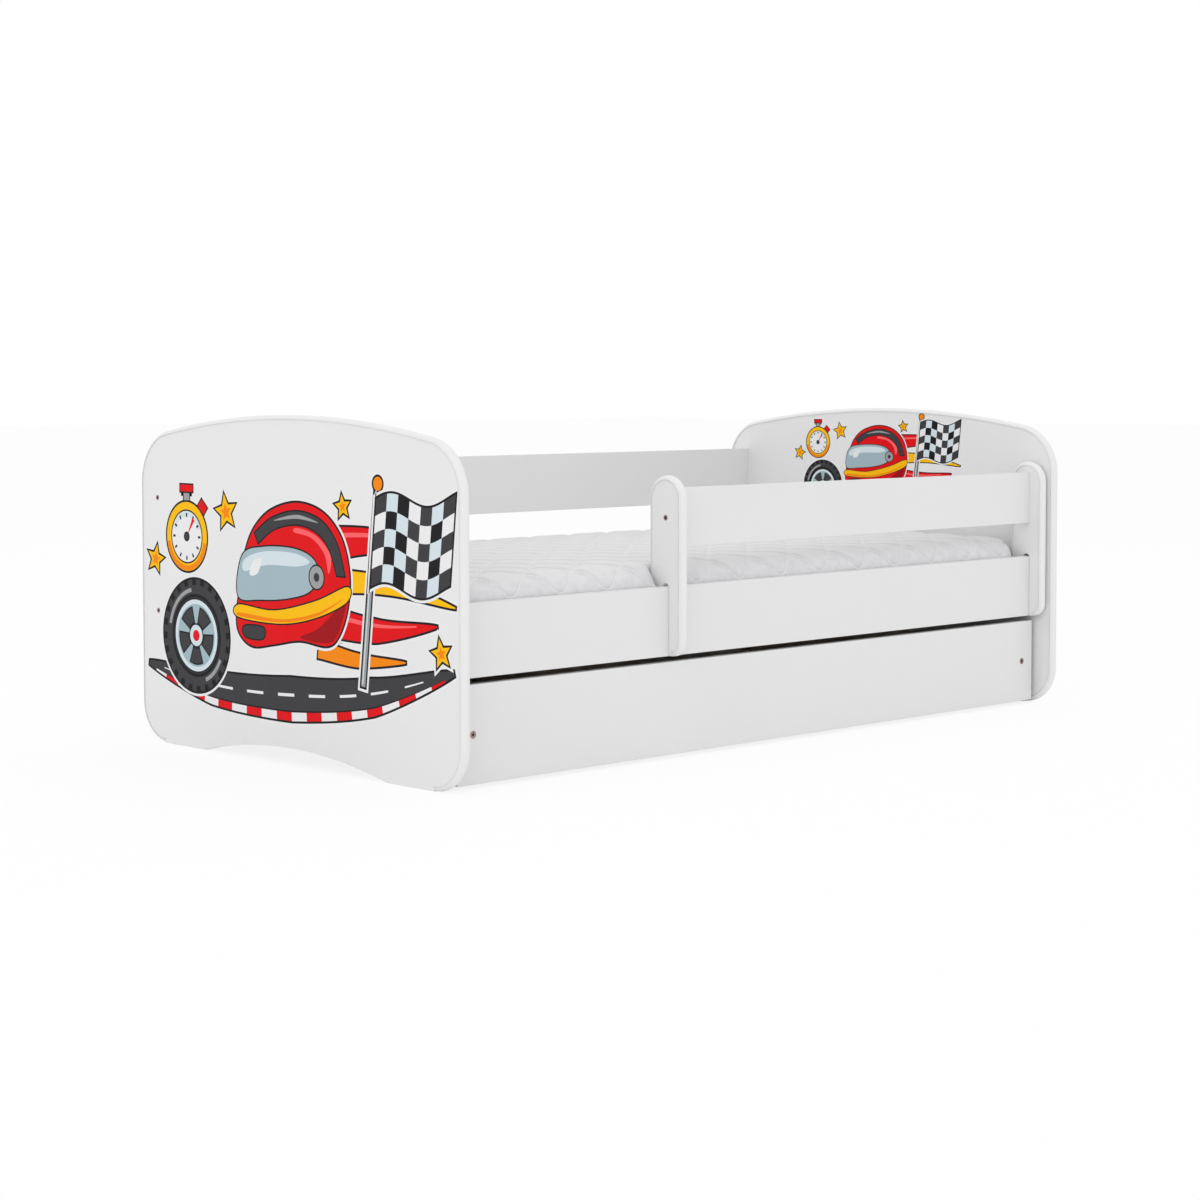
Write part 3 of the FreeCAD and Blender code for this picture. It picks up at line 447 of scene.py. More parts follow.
class Sheet:
    """The mattress cover: a flat cut of cloth, rolled over the shoulders and down the sides."""

    def __init__(self):
        low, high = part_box("mattress")
        self.half_length = high.x - SIDE_ROOM
        self.half_width = high.y - SIDE_ROOM
        self.bottom = low.z
        self.flat_width = QUILT_LINES_TOP * QUILT_SPACING
        self.shoulder = self.half_width - self.flat_width
        self.flat_length = self.half_length - self.shoulder
        self.corner = CORNER_RADIUS - self.shoulder
        self.edge_top = high.z - CROWN - PUFF / 2
        self.skirt = QUILT_LINES_SIDE * QUILT_SPACING
        self.roll = self.shoulder * math.pi / 2

    def columns(self):
        """Places of the grid's columns, closer together at the guard uprights."""
        dents = [middle for middle, half in upright_places()]
        places = [-self.flat_length]
        while places[-1] < self.flat_length - DENT_STEP:
            near = min(abs(places[-1] - middle) for middle in dents) < DENT_REACH
            places.append(places[-1] + (DENT_STEP if near else COLUMN_STEP))
        places[-1] = self.flat_length
        return places

    def rows(self):
        """Places of the grid's rows."""
        return row_places(-QUILT_LINES_TOP, QUILT_LINES_TOP)

    def ring_distances(self):
        """Distances of the rings round the flat part from its border."""
        places = row_places(QUILT_LINES_TOP, QUILT_LINES_TOP + QUILT_LINES_SIDE)
        return [place - self.flat_width for place in places[1:]]

    def rounded(self, x, y):
        """Move a point of the flat rectangle so that the rectangle's corners become round."""
        a = (abs(x) - self.flat_length + self.corner) / self.corner
        b = (abs(y) - self.flat_width + self.corner) / self.corner
        if a <= 0 or b <= 0:
            return x, y
        core_x = self.flat_length - self.corner
        core_y = self.flat_width - self.corner
        round_x = core_x + self.corner * a * math.sqrt(1 - b * b / 2)
        round_y = core_y + self.corner * b * math.sqrt(1 - a * a / 2)
        return math.copysign(round_x, x), math.copysign(round_y, y)

    def outward(self, point):
        """Nearest point of the flat part, the direction away from it, and the distance."""
        core = np.array([self.flat_length - self.corner, self.flat_width - self.corner])
        nearest = np.clip(point, -core, core)
        away = point - nearest
        length = np.linalg.norm(away, axis=1)
        direction = away / np.maximum(length, TINY)[:, None]
        beyond = np.maximum(length - self.corner, 0.0)
        return point - direction * beyond[:, None], direction, beyond

    def top_height(self, x, y):
        """Height of the crowned top, lower at the ends and a little lower at the back."""
        ends = np.clip((np.abs(x) - self.flat_length + END_DROP_LENGTH) / END_DROP_LENGTH, 0, 1) ** 2
        across = y / self.flat_width
        crown = CROWN * (1 - across ** 2) * (1 - END_CROWN_LOSS * ends)
        return self.edge_top + crown - END_DROP * ends - BACK_DROP * (1 + across) / 2

    def on_body(self, sheet, lift):
        """Points of the flat cut on the body, raised from it by a height."""
        border, direction, beyond = self.outward(sheet)
        turn = np.clip(beyond / self.roll, 0, 1) * math.pi / 2
        drop_share = np.clip((beyond - self.roll) / (self.skirt - self.roll), 0, 1)
        top = self.top_height(border[:, 0], border[:, 1])
        side = top - self.shoulder - self.bottom
        reach = self.shoulder * np.sin(turn) - FOOT_DRAW * drop_share ** 2 + lift * np.sin(turn)
        height = top - self.shoulder * (1 - np.cos(turn)) - side * drop_share + lift * np.cos(turn)
        plan = border + direction * reach[:, None]
        return np.column_stack([plan, height])


def row_places(start, end):
    """Places across the cover between two counts of sewn lines, closest together at the lines."""
    slack = 0.001
    places = []
    for line in range(math.floor(start) - 1, math.ceil(end) + 1):
        places += [line + QUILT_SHIFT + share for share in ROW_SHARES]
    return [place * QUILT_SPACING for place in places if start - slack < place < end + slack]


def upright_places():
    """Middle and half thickness of the two guard uprights along the bed."""
    places = []
    for name in ("left", "right"):
        low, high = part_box("guard_edging_" + name)
        places.append(((low.x + high.x) / 2, (high.x - low.x) / 2))
    return places


def triangle_wave(value):
    """-1 at even whole numbers and +1 at odd ones, straight between."""
    return 1 - 2 * np.abs(1 - np.mod(value, 2.0))


def sewn_shift(along):
    """How far a sewn line swings to the side."""
    return QUILT_SWING * np.cos(np.pi * (along - QUILT_PHASE) / QUILT_HALF_WAVE)


def quilt_height(along, across):
    """Height of the padding: nothing at the sewn lines, full between them."""
    line = np.round(across / QUILT_SPACING - QUILT_SHIFT)
    side = 2 * np.mod(line, 2.0) - 1
    angle = np.pi * (along - QUILT_PHASE) / QUILT_HALF_WAVE
    slope = QUILT_SWING * np.pi / QUILT_HALF_WAVE * np.sin(angle)
    middle = (line + QUILT_SHIFT) * QUILT_SPACING + side * sewn_shift(along)
    distance = np.abs(across - middle) / np.sqrt(1 + slope ** 2)
    return PUFF * (1 - np.exp(-distance / PUFF_WIDTH)), distance


def sheet_grid(sheet):
    """Flat places of all vertices and the faces between them: a grid and rings round it."""
    columns = sheet.columns()
    rows = sheet.rows()
    wide = len(columns)
    tall = len(rows)
    places = [sheet.rounded(x, y) for y in rows for x in columns]
    faces = [
        (j * wide + i, j * wide + i + 1, (j + 1) * wide + i + 1, (j + 1) * wide + i)
        for j in range(tall - 1)
        for i in range(wide - 1)
    ]
    ring = list(range(wide))
    ring += [j * wide + wide - 1 for j in range(1, tall)]
    ring += [(tall - 1) * wide + i for i in range(wide - 2, -1, -1)]
    ring += [j * wide for j in range(tall - 2, 0, -1)]
    border = np.array([places[i] for i in ring])
    just_outside = border * (1 + 1e-6)
    direction = sheet.outward(just_outside)[1]
    previous = ring
    for distance in sheet.ring_distances():
        start = len(places)
        places.extend(map(tuple, border + direction * distance))
        current = list(range(start, start + len(ring)))
        for i in range(len(ring)):
            j = (i + 1) % len(ring)
            faces.append((previous[i], current[i], current[j], previous[j]))
        previous = current
    return np.array(places), faces


def press_dents(points):
    """Push the front edge back at the guard uprights."""
    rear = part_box("guard_edging_left")[1].y + DENT_GAP
    front = -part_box("mattress")[1].y - 4 * DENT_SOFTNESS
    for middle, half in upright_places():
        reach = np.abs(points[:, 0] - middle) - half - DENT_GAP
        share = 1 - np.clip(reach / DENT_FLANK, 0, 1)
        share = share * share * (3 - 2 * share)
        limit = front + (rear - front) * share
        ahead = (points[:, 1] - limit) / DENT_SOFTNESS
        pushed = limit + DENT_SOFTNESS * np.logaddexp(0.0, ahead)
        points[:, 1] = np.where(share > 0, pushed, points[:, 1])
        low, high = DENT_HOLLOW_HEIGHT
        level = np.clip((points[:, 2] - low) * (high - points[:, 2]) * 4 / (high - low) ** 2, 0, 1)
        beside = np.exp(-((np.maximum(reach, 0.0) / DENT_HOLLOW_WIDTH) ** 2)) * (points[:, 1] < rear)
        points[:, 1] += DENT_HOLLOW * level * beside
    return points


def soft_unevenness(points):
    """Low, wide swells of the filling."""
    swell = [noise.noise(Vector(place)) for place in points * np.array(UNEVENNESS_SCALE)]
    return UNEVENNESS * np.array(swell)


def swell_cells(mesh, pinned):
    """Inflate the cover between the sewn lines with a short cloth simulation."""
    start = np.array([v.co for v in mesh.vertices])
    cover = bpy.data.objects.new("cover_simulated", mesh.copy())
    bpy.context.scene.collection.objects.link(cover)
    group = cover.vertex_groups.new(name="sewn")
    for index in np.flatnonzero(pinned):
        group.add([int(index)], 1.0, "REPLACE")
    cloth = cover.modifiers.new("cloth", "CLOTH")
    cloth.settings.quality = CLOTH_QUALITY
    cloth.settings.mass = CLOTH_MASS
    cloth.settings.tension_stiffness = CLOTH_STRETCH_STIFFNESS
    cloth.settings.compression_stiffness = CLOTH_STRETCH_STIFFNESS
    cloth.settings.shear_stiffness = CLOTH_SHEAR_STIFFNESS
    cloth.settings.bending_stiffness = CLOTH_BENDING_STIFFNESS
    cloth.settings.vertex_group_mass = group.name
    cloth.settings.use_pressure = True
    cloth.settings.uniform_pressure_force = CLOTH_PRESSURE
    cloth.settings.effector_weights.gravity = 0
    cloth.collision_settings.use_collision = False
    scene = bpy.context.scene
    for number in range(1, CLOTH_FRAMES + 1):
        scene.frame_set(number)
    evaluated = cover.evaluated_get(bpy.context.evaluated_depsgraph_get())
    end = np.array([v.co for v in evaluated.data.vertices])
    scene.frame_set(1)
    bpy.data.objects.remove(cover)
    move = end - start
    length = np.linalg.norm(move, axis=1)
    capped = SWELL_LIMIT * np.tanh(length / SWELL_LIMIT)
    move *= (capped / np.maximum(length, TINY))[:, None]
    mesh.vertices.foreach_set("co", (start + move).astype(np.float32).ravel())
    mesh.update()


def finer_closed(mesh):
    """The open cover with one subdivision applied and its underside closed."""
    cover = bpy.data.objects.new("cover_coarse", mesh)
    bpy.context.scene.collection.objects.link(cover)
    smooth = cover.modifiers.new("smooth", "SUBSURF")
    smooth.levels = 1
    evaluated = cover.evaluated_get(bpy.context.evaluated_depsgraph_get())
    fine = bpy.data.meshes.new_from_object(evaluated)
    bpy.data.objects.remove(cover)
    shape = bmesh.new()
    shape.from_mesh(fine)
    border = [edge for edge in shape.edges if edge.is_boundary]
    bmesh.ops.edgeloop_fill(shape, edges=border)
    bmesh.ops.recalc_face_normals(shape, faces=shape.faces)
    shape.to_mesh(fine)
    shape.free()
    fine.name = "mattress_cover"
    return fine


def cover_mesh(points, faces, flat):
    """The open cover as a mesh, with its places on the flat cut as texture places."""
    mesh = bpy.data.meshes.new("cover_coarse")
    mesh.from_pydata(points.tolist(), [], faces)
    layer = mesh.uv_layers.new(name="sheet")
    loops = np.empty(len(mesh.loops), int)
    mesh.loops.foreach_get("vertex_index", loops)
    layer.data.foreach_set("uv", flat[loops].astype(np.float32).ravel())
    mesh.polygons.foreach_set("use_smooth", [True] * len(mesh.polygons))
    return mesh


def beside_uprights(points, sheet):
    """Points at the front edge that the guard uprights press in."""
    front_strip = points[:, 1] < 2 * DENT_REACH - sheet.half_width
    dented = np.zeros(len(points), bool)
    for middle, half in upright_places():
        dented |= (np.abs(points[:, 0] - middle) < DENT_REACH) & front_strip
    return dented


def build_mattress(materials):
    """The mattress piece in place of its CAD solid."""
    sheet = Sheet()
    flat, faces = sheet_grid(sheet)
    beyond = sheet.outward(flat)[2]
    fade = np.clip((sheet.skirt - beyond) / (sheet.skirt - sheet.roll), 0, 1)
    warp = sewn_shift(flat[:, 0]) * triangle_wave(flat[:, 1] / QUILT_SPACING - QUILT_SHIFT) * fade
    flat[:, 1] += warp
    padding, distance = quilt_height(flat[:, 0], flat[:, 1])
    points = sheet.on_body(flat, padding * fade)
    points[:, 2] += soft_unevenness(points) * fade
    points = press_dents(points)
    mesh = cover_mesh(points, faces, flat)
    pinned = (distance < SEAM_HALF_WIDTH) | (fade < 0.5) | beside_uprights(points, sheet)
    swell_cells(mesh, pinned)
    piece = new_piece("mattress_cover", finer_closed(mesh), [materials["quilted_cover"]])
    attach(piece, "mattress")
    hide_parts("mattress")


# Prints: flat outlines in millimetres, rightward and upward on the board as it is seen


def smooth_outline(points, steps=8, closed=True):
    """A curve through the points, straight pieces short enough to look round."""
    count = len(points)
    padded = points[-1:] + points + points[:2] if closed else points[:1] + points + points[-1:]
    curve = []
    for i in range(count if closed else count - 1):
        around = padded[i : i + 4]
        for step in range(steps):
            t = step / steps
            weights = (
                -0.5 * t + t ** 2 - 0.5 * t ** 3,
                1 - 2.5 * t ** 2 + 1.5 * t ** 3,
                0.5 * t + 2 * t ** 2 - 1.5 * t ** 3,
                -0.5 * t ** 2 + 0.5 * t ** 3,
            )
            curve.append(tuple(sum(w * q[axis] for w, q in zip(weights, around)) for axis in (0, 1)))
    if not closed:
        curve.append(points[-1])
    return curve


def ellipse(centre, radius_x, radius_z, steps=64):
    angles = [2 * math.pi * i / steps for i in range(steps)]
    return [(centre[0] + radius_x * math.cos(a), centre[1] + radius_z * math.sin(a)) for a in angles]


def circle(centre, radius, steps=64):
    return ellipse(centre, radius, radius, steps)


def ring_part(centre, inner, outer, start, end, steps=16):
    """A piece of a ring between two angles in degrees."""
    angles = [math.radians(start + (end - start) * i / steps) for i in range(steps + 1)]
    outside = [(centre[0] + outer * math.cos(a), centre[1] + outer * math.sin(a)) for a in angles]
    inside = [(centre[0] + inner * math.cos(a), centre[1] + inner * math.sin(a)) for a in reversed(angles)]
    return outside + inside


def star(centre, outer, inner, turn):
    """A five-pointed star."""
    points = []
    for i in range(10):
        radius = outer if i % 2 == 0 else inner
        angle = math.radians(90 + turn + 36 * i)
        points.append((centre[0] + radius * math.cos(angle), centre[1] + radius * math.sin(angle)))
    return points


def ribbon(points, widths, span=(0.0, 1.0), sides=(-1.0, 1.0)):
    """A band along a curve, or the part of it between two shares of its length and its width."""
    curve = np.array(smooth_outline(points, 24, closed=False))
    steps = max(2, round(60 * (span[1] - span[0])))
    share = np.linspace(span[0], span[1], steps + 1)
    every = np.linspace(0, 1, len(curve))
    path = np.column_stack([np.interp(share, every, curve[:, axis]) for axis in (0, 1)])
    run = np.gradient(curve, axis=0)
    run = np.column_stack([np.interp(share, every, run[:, axis]) for axis in (0, 1)])
    run /= np.linalg.norm(run, axis=1)[:, None]
    half = np.interp(share, np.linspace(0, 1, len(widths)), widths) / 2
    normal = np.column_stack([-run[:, 1], run[:, 0]]) * half[:, None]
    right = path + sides[0] * normal
    left = path + sides[1] * normal
    return [tuple(point) for point in np.vstack([right, left[::-1]])]


def grown(outline, distance):
    """The outline moved outward along its normals, with corners kept from growing long."""
    shortest = 0.9
    area = sum(a[0] * b[1] - b[0] * a[1] for a, b in zip(outline, outline[1:] + outline[:1]))
    turn = 1 if area > 0 else -1
    result = []
    for i, point in enumerate(outline):
        before = np.subtract(point, outline[i - 1])
        after = np.subtract(outline[(i + 1) % len(outline)], point)
        before = before / max(np.linalg.norm(before), TINY)
        after = after / max(np.linalg.norm(after), TINY)
        normal = np.array([before[1] + after[1], -before[0] - after[0]]) * turn
        size = max(np.linalg.norm(normal), shortest)
        result.append(tuple(np.add(point, normal * (2 * distance / size ** 2))))
    return result


class Print:
    """Layers of printed film, each a closed thin plate above the one before."""

    INKS = {
        "white": (0.86, 0.86, 0.87),
        "black": (0.012, 0.012, 0.014),
        "charcoal": (0.052, 0.052, 0.056),
        "grey": (0.35, 0.36, 0.37),
        "red": (0.78, 0.004, 0.008),
        "dark_red": (0.36, 0.004, 0.008),
        "rose": (1.0, 0.13, 0.14),
        "steel_blue": (0.38, 0.50, 0.55),
        "pale_blue": (0.68, 0.78, 0.83),
        "yellow": (1.0, 0.54, 0.004),
        "orange": (0.95, 0.26, 0.004),
    }

    def __init__(self):
        self.plates = []

    def add(self, ink, outline, layer):
        self.plates.append((ink, outline, layer))

    def motif(self, ink, outline, layer):
        """A shape with a black line round it, cut out with a white border."""
        self.add("white", grown(outline, PRINT_BORDER), layer)
        self.add("black", grown(outline, PRINT_LINE), layer + 1)
        self.add(ink, outline, layer + 2)

    def lined(self, ink, outline, layer):
        """A shape with a finer black line round it."""
        self.add("black", grown(outline, PRINT_FINE_LINE), layer)
        self.add(ink, outline, layer + 1)

    def mesh(self, name, face_x, place, scale, order):
        """The print on a board face that looks to -X, as a mesh of thin plates."""
        shape = bmesh.new()
        size = MILLIMETRE * scale
        for ink, outline, layer in self.plates:
            depth = face_x - PRINT_LAYER * (layer + 1)
            spots = [(-(place[0] + across * size), place[1] + up * size) for across, up in outline]
            front = [shape.verts.new((depth, y, z)) for y, z in spots]
            back = [shape.verts.new((face_x, y, z)) for y, z in spots]
            made = [shape.faces.new(front), shape.faces.new(back[::-1])]
            for i in range(len(spots)):
                made.append(shape.faces.new((front[i], front[i - 1], back[i - 1], back[i])))
            for face in made:
                face.material_index = order.index(ink)
        bmesh.ops.recalc_face_normals(shape, faces=shape.faces)
        mesh = bpy.data.meshes.new(name)
        shape.to_mesh(mesh)
        shape.free()
        return mesh


def draw_track(design):
    """A stretch of race track with a kerb and a dashed middle line."""
    path = [(-442, -152), (-240, -182), (0, -182), (230, -158), (442, -100)]
    widths = (8, 62, 78, 64, 8)
    design.motif("charcoal", ribbon(path, widths), 0)
    blocks = 22
    for i in range(1, blocks - 1):
        span = (i / blocks, (i + 1) / blocks)
        design.add(("red", "white")[i % 2], ribbon(path, widths, span, (-1.0, -0.6)), 3)
    design.add("black", ribbon(path, widths, (1 / blocks, 1 - 1 / blocks), (-0.6, -0.52)), 4)
    for i in range(9):
        start = 0.08 + 0.095 * i
        design.add("white", ribbon(path, widths, (start, start + 0.05), (0.12, 0.26)), 3)


def draw_streaks(design):
    """Speed streaks behind the helmet, pointed at their far ends."""
    streaks = (
        ("red", [(90, 96), (240, 108), (404, 92)], (64, 40, 2)),
        ("yellow", [(110, 34), (270, 34), (446, 8)], (44, 30, 2)),
        ("red", [(90, -34), (240, -44), (400, -26)], (58, 40, 2)),
        ("orange", [(80, -86), (190, -98), (318, -92)], (34, 24, 2)),
    )
    for ink, path, widths in streaks:
        design.motif(ink, ribbon(path, widths), 5)
        if ink == "red":
            design.add("rose", ribbon(path, widths, (0.0, 0.8), (0.3, 0.62)), 8)


def draw_flag(design, base):
    """A waving chequered flag on a pole, its folds in deeper tones."""
    columns, rows = 7, 5
    folds = (1, 2, 5)
    width, height = 206.0, 150.0

    def cloth(s, t):
        wave = 13 * math.sin(2 * math.pi * (s * 1.05 + 0.06))
        return base[0] + s * width + 16 * t, base[1] + t * height + wave + 10 * s

    def patch(s0, s1, t0, t1, steps=6):
        low = [cloth(s0 + (s1 - s0) * i / steps, t0) for i in range(steps + 1)]
        high = [cloth(s1 + (s0 - s1) * i / steps, t1) for i in range(steps + 1)]
        return low + high

    foot = (base[0] - 22, base[1] - 168)
    head = (base[0] + 18, base[1] + 172)
    middle = ((foot[0] + head[0]) / 2, (foot[1] + head[1]) / 2)
    design.motif("grey", ribbon([foot, middle, head], (11, 11, 11)), 9)
    design.add("pale_blue", ribbon([foot, middle, head], (11, 11, 11), (0.02, 0.98), (0.1, 0.6)), 12)
    design.motif("orange", circle((head[0] + 2, head[1] + 8), 12, 32), 10)
    design.motif("white", patch(0, 1, 0, 1, 40), 12)
    for i in range(columns):
        tones = ("black", "pale_blue") if i in folds else ("charcoal", "white")
        for j in range(rows):
            square = patch(i / columns, (i + 1) / columns, j / rows, (j + 1) / rows)
            design.add(tones[(i + j) % 2], square, 15)


def draw_stopwatch(design, middle, radius):
    """A stopwatch with a plain dial of ticks and one hand."""

    def knob(angle, start, end, width):
        turn = math.radians(angle)
        run = (radius * math.cos(turn), radius * math.sin(turn))
        path = [(middle[0] + r * run[0], middle[1] + r * run[1]) for r in (start, (start + end) / 2, end)]
        return ribbon(path, (width, width, width))

    knobs = (
        ("grey", knob(90, 1.05, 1.4, 18)),
        ("red", knob(90, 1.3, 1.5, 40)),
        ("red", knob(48, 1.05, 1.32, 24)),
    )
    for ink, outline in knobs:
        design.add("white", grown(outline, PRINT_BORDER), 9)
    design.motif("yellow", circle(middle, radius, 80), 10)
    for number, (ink, outline) in enumerate(knobs):
        design.lined(ink, outline, 13 + 2 * number)
    design.add("orange", ring_part(middle, radius * 0.84, radius * 0.99, 190, 350, 40), 16)
    design.lined("white", circle(middle, radius * 0.74, 72), 17)
    design.add("pale_blue", ring_part(middle, radius * 0.58, radius * 0.73, 20, 160, 40), 19)
    for i in range(12):
        angle = 30 * i
        design.add("black", ring_part(middle, radius * 0.56, radius * 0.68, angle - 3, angle + 3, 2), 20)
    design.add("red", ring_part(middle, radius * 0.05, radius * 0.62, 50, 62, 3), 21)
    design.lined("charcoal", circle(middle, radius * 0.1, 24), 22)


def draw_helmet(design, middle):
    """A racing helmet from the side, with a tinted visor and stripes over the crown."""

    def at(points):
        return [(middle[0] + x, middle[1] + z) for x, z in points]

    def blob(points, steps=8):
        return smooth_outline(at(points), steps)

    brow_and_crown = [(-146, 36), (-118, 82), (-68, 116), (8, 132), (82, 118), (134, 76), (156, 14)]
    back_and_neck = [(150, -46), (126, -94), (92, -114), (16, -110)]
    chin = [(-60, -122), (-124, -130), (-164, -110), (-172, -76), (-160, -20)]
    design.motif("red", blob(brow_and_crown + back_and_neck + chin), 15)
    design.add("dark_red", blob([(148, -30), (124, -90), (92, -109), (16, -105), (66, -86), (116, -52)]), 18)
    stripe_top = [(-116, 74), (-64, 103), (8, 117), (76, 104), (121, 66), (143, 10)]
    stripe_low = [(121, 10), (101, 54), (64, 83), (8, 94), (-58, 83), (-106, 56)]
    stripe = smooth_outline(stripe_top, closed=False) + smooth_outline(stripe_low, closed=False)
    design.lined("charcoal", at(stripe), 18)
    design.add("grey", blob([(-60, 98), (8, 111), (70, 99), (8, 104)]), 20)
    design.add("rose", blob([(0, 80), (50, 72), (86, 46), (98, 12), (104, 44), (64, 76), (10, 88)]), 18)
    flash = [(-166, -58), (-60, -62), (60, -38), (150, -8), (148, -34), (64, -66), (-40, -84), (-168, -80)]
    design.lined("yellow", blob(flash), 19)
    glow = [(-160, -72), (-40, -76), (64, -58), (140, -28), (64, -64), (-40, -82), (-160, -79)]
    design.add("orange", blob(glow), 21)
    design.lined("charcoal", blob([(-150, -96), (-96, -94), (-88, -106), (-100, -116), (-146, -114)]), 21)
    visor_top = [(-154, 32), (-90, 50), (0, 51), (54, 36), (68, 8)]
    visor_low = [(44, -22), (-20, -38), (-100, -45), (-168, -42)]
    design.lined("steel_blue", blob(visor_top + visor_low), 22)
    shine = [(-146, 26), (-88, 42), (0, 43), (44, 30), (8, 20), (-80, 18), (-148, 4)]
    design.add("pale_blue", blob(shine), 24)
    design.add("white", blob([(-122, 22), (-96, 29), (-108, 2), (-132, -2)], 6), 25)
    pivot = (middle[0] + 64, middle[1] + 4)
    design.lined("grey", circle(pivot, 20, 40), 24)
    design.add("charcoal", circle(pivot, 8, 24), 26)


def draw_wheel(design, middle, radius):
    """A racing tyre on a five-spoke rim."""
    design.motif("charcoal", circle(middle, radius, 96), 15)
    for i in range(24):
        start = 15 * i
        design.add("black", ring_part(middle, radius * 0.90, radius, start, start + 7, 4), 18)
    design.add("black", ring_part(middle, radius * 0.68, radius * 0.74, 0, 359.9, 80), 18)
    design.add("grey", ring_part(middle, radius * 0.78, radius * 0.85, 100, 168), 18)
    design.add("grey", ring_part(middle, radius * 0.78, radius * 0.85, 290, 332), 18)
    design.lined("pale_blue", circle(middle, radius * 0.64, 80), 19)
    design.add("steel_blue", circle(middle, radius * 0.56, 80), 21)
    for i in range(5):
        start = 105 + 72 * i
        design.lined("charcoal", ring_part(middle, radius * 0.24, radius * 0.5, start, start + 42, 10), 22)
    design.lined("pale_blue", circle(middle, radius * 0.19, 40), 24)
    design.add("red", circle(middle, radius * 0.1, 32), 26)


def draw_stars(design):
    """Stars with a smaller star inside."""
    spots = (((-192, 142), 34, 10), ((-418, 46), 28, -12), ((150, 164), 22, 8), ((410, -70), 26, 12))
    for middle, size, turn in spots:
        design.motif("yellow", star(middle, size, size * 0.45, turn), 20)
        design.add("orange", star(middle, size * 0.5, size * 0.225, turn), 23)


def race_day_design():
    """The whole design: the motifs lie over each other by their layers."""
    design = Print()
    draw_track(design)
    draw_streaks(design)
    draw_flag(design, (226, 26))
    draw_stopwatch(design, (-316, 92), 64)
    draw_wheel(design, (-288, -90), 104)
    draw_helmet(design, (12, 34))
    draw_stars(design)
    return design


def build_prints():
    """The design on the footboard's outside and, smaller, on the headboard's inside."""
    design = race_day_design()
    order = list(Print.INKS)
    inks = [print_ink(name, Print.INKS[name]) for name in order]
    foot_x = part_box("footboard_panel")[0].x
    head_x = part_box("headboard_panel")[0].x
    boards = (
        ("footboard_print", foot_x, FOOT_PRINT_PLACE, 1.0),
        ("headboard_print", head_x, HEAD_PRINT_PLACE, HEAD_PRINT_SCALE),
    )
    for name, face_x, place, scale in boards:
        piece = new_piece(name, design.mesh(name, face_x, place, scale, order), inks)
        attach(piece, "bed_frame")


# Stage, light and camera


def seen_rays(tree):
    """1 for rays that show the background: from the camera, in gloss and through glass."""
    path = tree.nodes.new("ShaderNodeLightPath")
    total = path.outputs["Is Camera Ray"]
    for name in ("Is Glossy Ray", "Is Transmission Ray"):
        largest = tree.nodes.new("ShaderNodeMath")
        largest.operation = "MAXIMUM"
        tree.links.new(total, largest.inputs[0])
        tree.links.new(path.outputs[name], largest.inputs[1])
        total = largest.outputs[0]
    return total


def floor_material():
    """Pale floor: mostly white to the eye, with the soft shadow left in it."""
    material = bpy.data.materials.new("floor")
    material.use_nodes = True
    tree = material.node_tree
    tree.nodes.clear()
    matte = tree.nodes.new("ShaderNodeBsdfDiffuse")
    matte.inputs["Color"].default_value = colour(0.98, 0.98, 0.98)
    white = tree.nodes.new("ShaderNodeEmission")
    white.inputs["Color"].default_value = colour(1.0, 1.0, 1.0)
    share = tree.nodes.new("ShaderNodeMath")
    share.operation = "MULTIPLY"
    tree.links.new(seen_rays(tree), share.inputs[0])
    share.inputs[1].default_value = FLOOR_SHARE_WHITE
    mixed = tree.nodes.new("ShaderNodeMixShader")
    tree.links.new(share.outputs[0], mixed.inputs[0])
    tree.links.new(matte.outputs[0], mixed.inputs[1])
    tree.links.new(white.outputs[0], mixed.inputs[2])
    output = tree.nodes.new("ShaderNodeOutputMaterial")
    tree.links.new(mixed.outputs[0], output.inputs["Surface"])
    return material


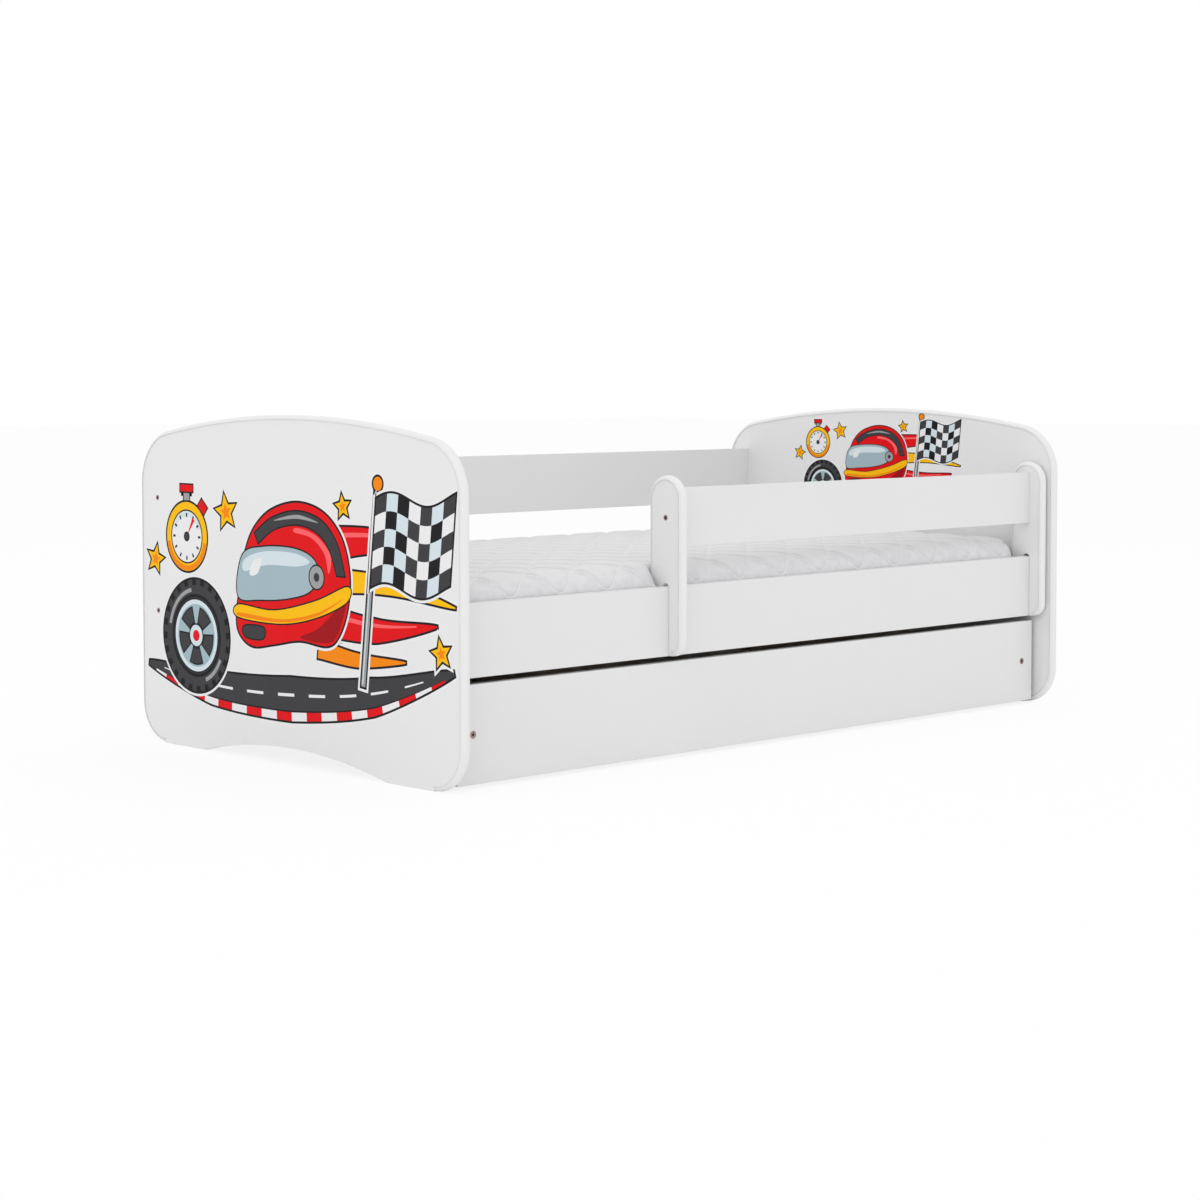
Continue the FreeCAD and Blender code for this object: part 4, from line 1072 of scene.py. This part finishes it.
def build_stage():
    """A wide floor."""
    half = FLOOR_SIZE / 2
    mesh = bpy.data.meshes.new("floor")
    corners = [(-half, -half, 0), (half, -half, 0), (half, half, 0), (-half, half, 0)]
    mesh.from_pydata(corners, [], [(0, 1, 2, 3)])
    new_piece("floor", mesh, [floor_material()])


def add_lamp(name, place, target, size, power):
    """A square lamp that looks at a target."""
    lamp = bpy.data.lights.new(name, "AREA")
    lamp.size = size
    lamp.energy = power
    holder = bpy.data.objects.new(name, lamp)
    holder.location = place
    aim = Vector(target) - Vector(place)
    holder.rotation_euler = aim.to_track_quat("-Z", "Y").to_euler()
    bpy.context.scene.collection.objects.link(holder)


def build_light():
    """A white dome, a large key lamp from the front left and a soft lamp overhead."""
    scene = bpy.context.scene
    scene.view_settings.view_transform = "Standard"
    world = bpy.data.worlds.new("studio")
    world.use_nodes = True
    scene.world = world
    tree = world.node_tree
    tree.nodes.clear()
    dome = tree.nodes.new("ShaderNodeBackground")
    dome.inputs["Strength"].default_value = DOME_STRENGTH
    white = tree.nodes.new("ShaderNodeBackground")
    for background in (dome, white):
        background.inputs["Color"].default_value = colour(1.0, 1.0, 1.0)
    mixed = tree.nodes.new("ShaderNodeMixShader")
    tree.links.new(seen_rays(tree), mixed.inputs[0])
    tree.links.new(dome.outputs[0], mixed.inputs[1])
    tree.links.new(white.outputs[0], mixed.inputs[2])
    output = tree.nodes.new("ShaderNodeOutputWorld")
    tree.links.new(mixed.outputs[0], output.inputs["Surface"])
    add_lamp("key", KEY_PLACE, KEY_TARGET, KEY_SIZE, KEY_POWER)
    add_lamp("overhead", OVERHEAD_PLACE, OVERHEAD_TARGET, OVERHEAD_SIZE, OVERHEAD_POWER)


def build_camera():
    data = bpy.data.cameras.new("camera")
    data.lens = CAMERA_LENS
    data.sensor_width = SENSOR_WIDTH
    data.shift_x, data.shift_y = CAMERA_SHIFT
    camera = bpy.data.objects.new("camera", data)
    camera.location = CAMERA_PLACE
    camera.rotation_euler = (math.pi / 2 - CAMERA_PITCH, 0.0, -CAMERA_YAW)
    bpy.context.scene.collection.objects.link(camera)
    bpy.context.scene.camera = camera


slots = slot_materials()
dress_nodes(slots)
build_mattress(slots)
build_prints()
build_stage()
build_light()
build_camera()
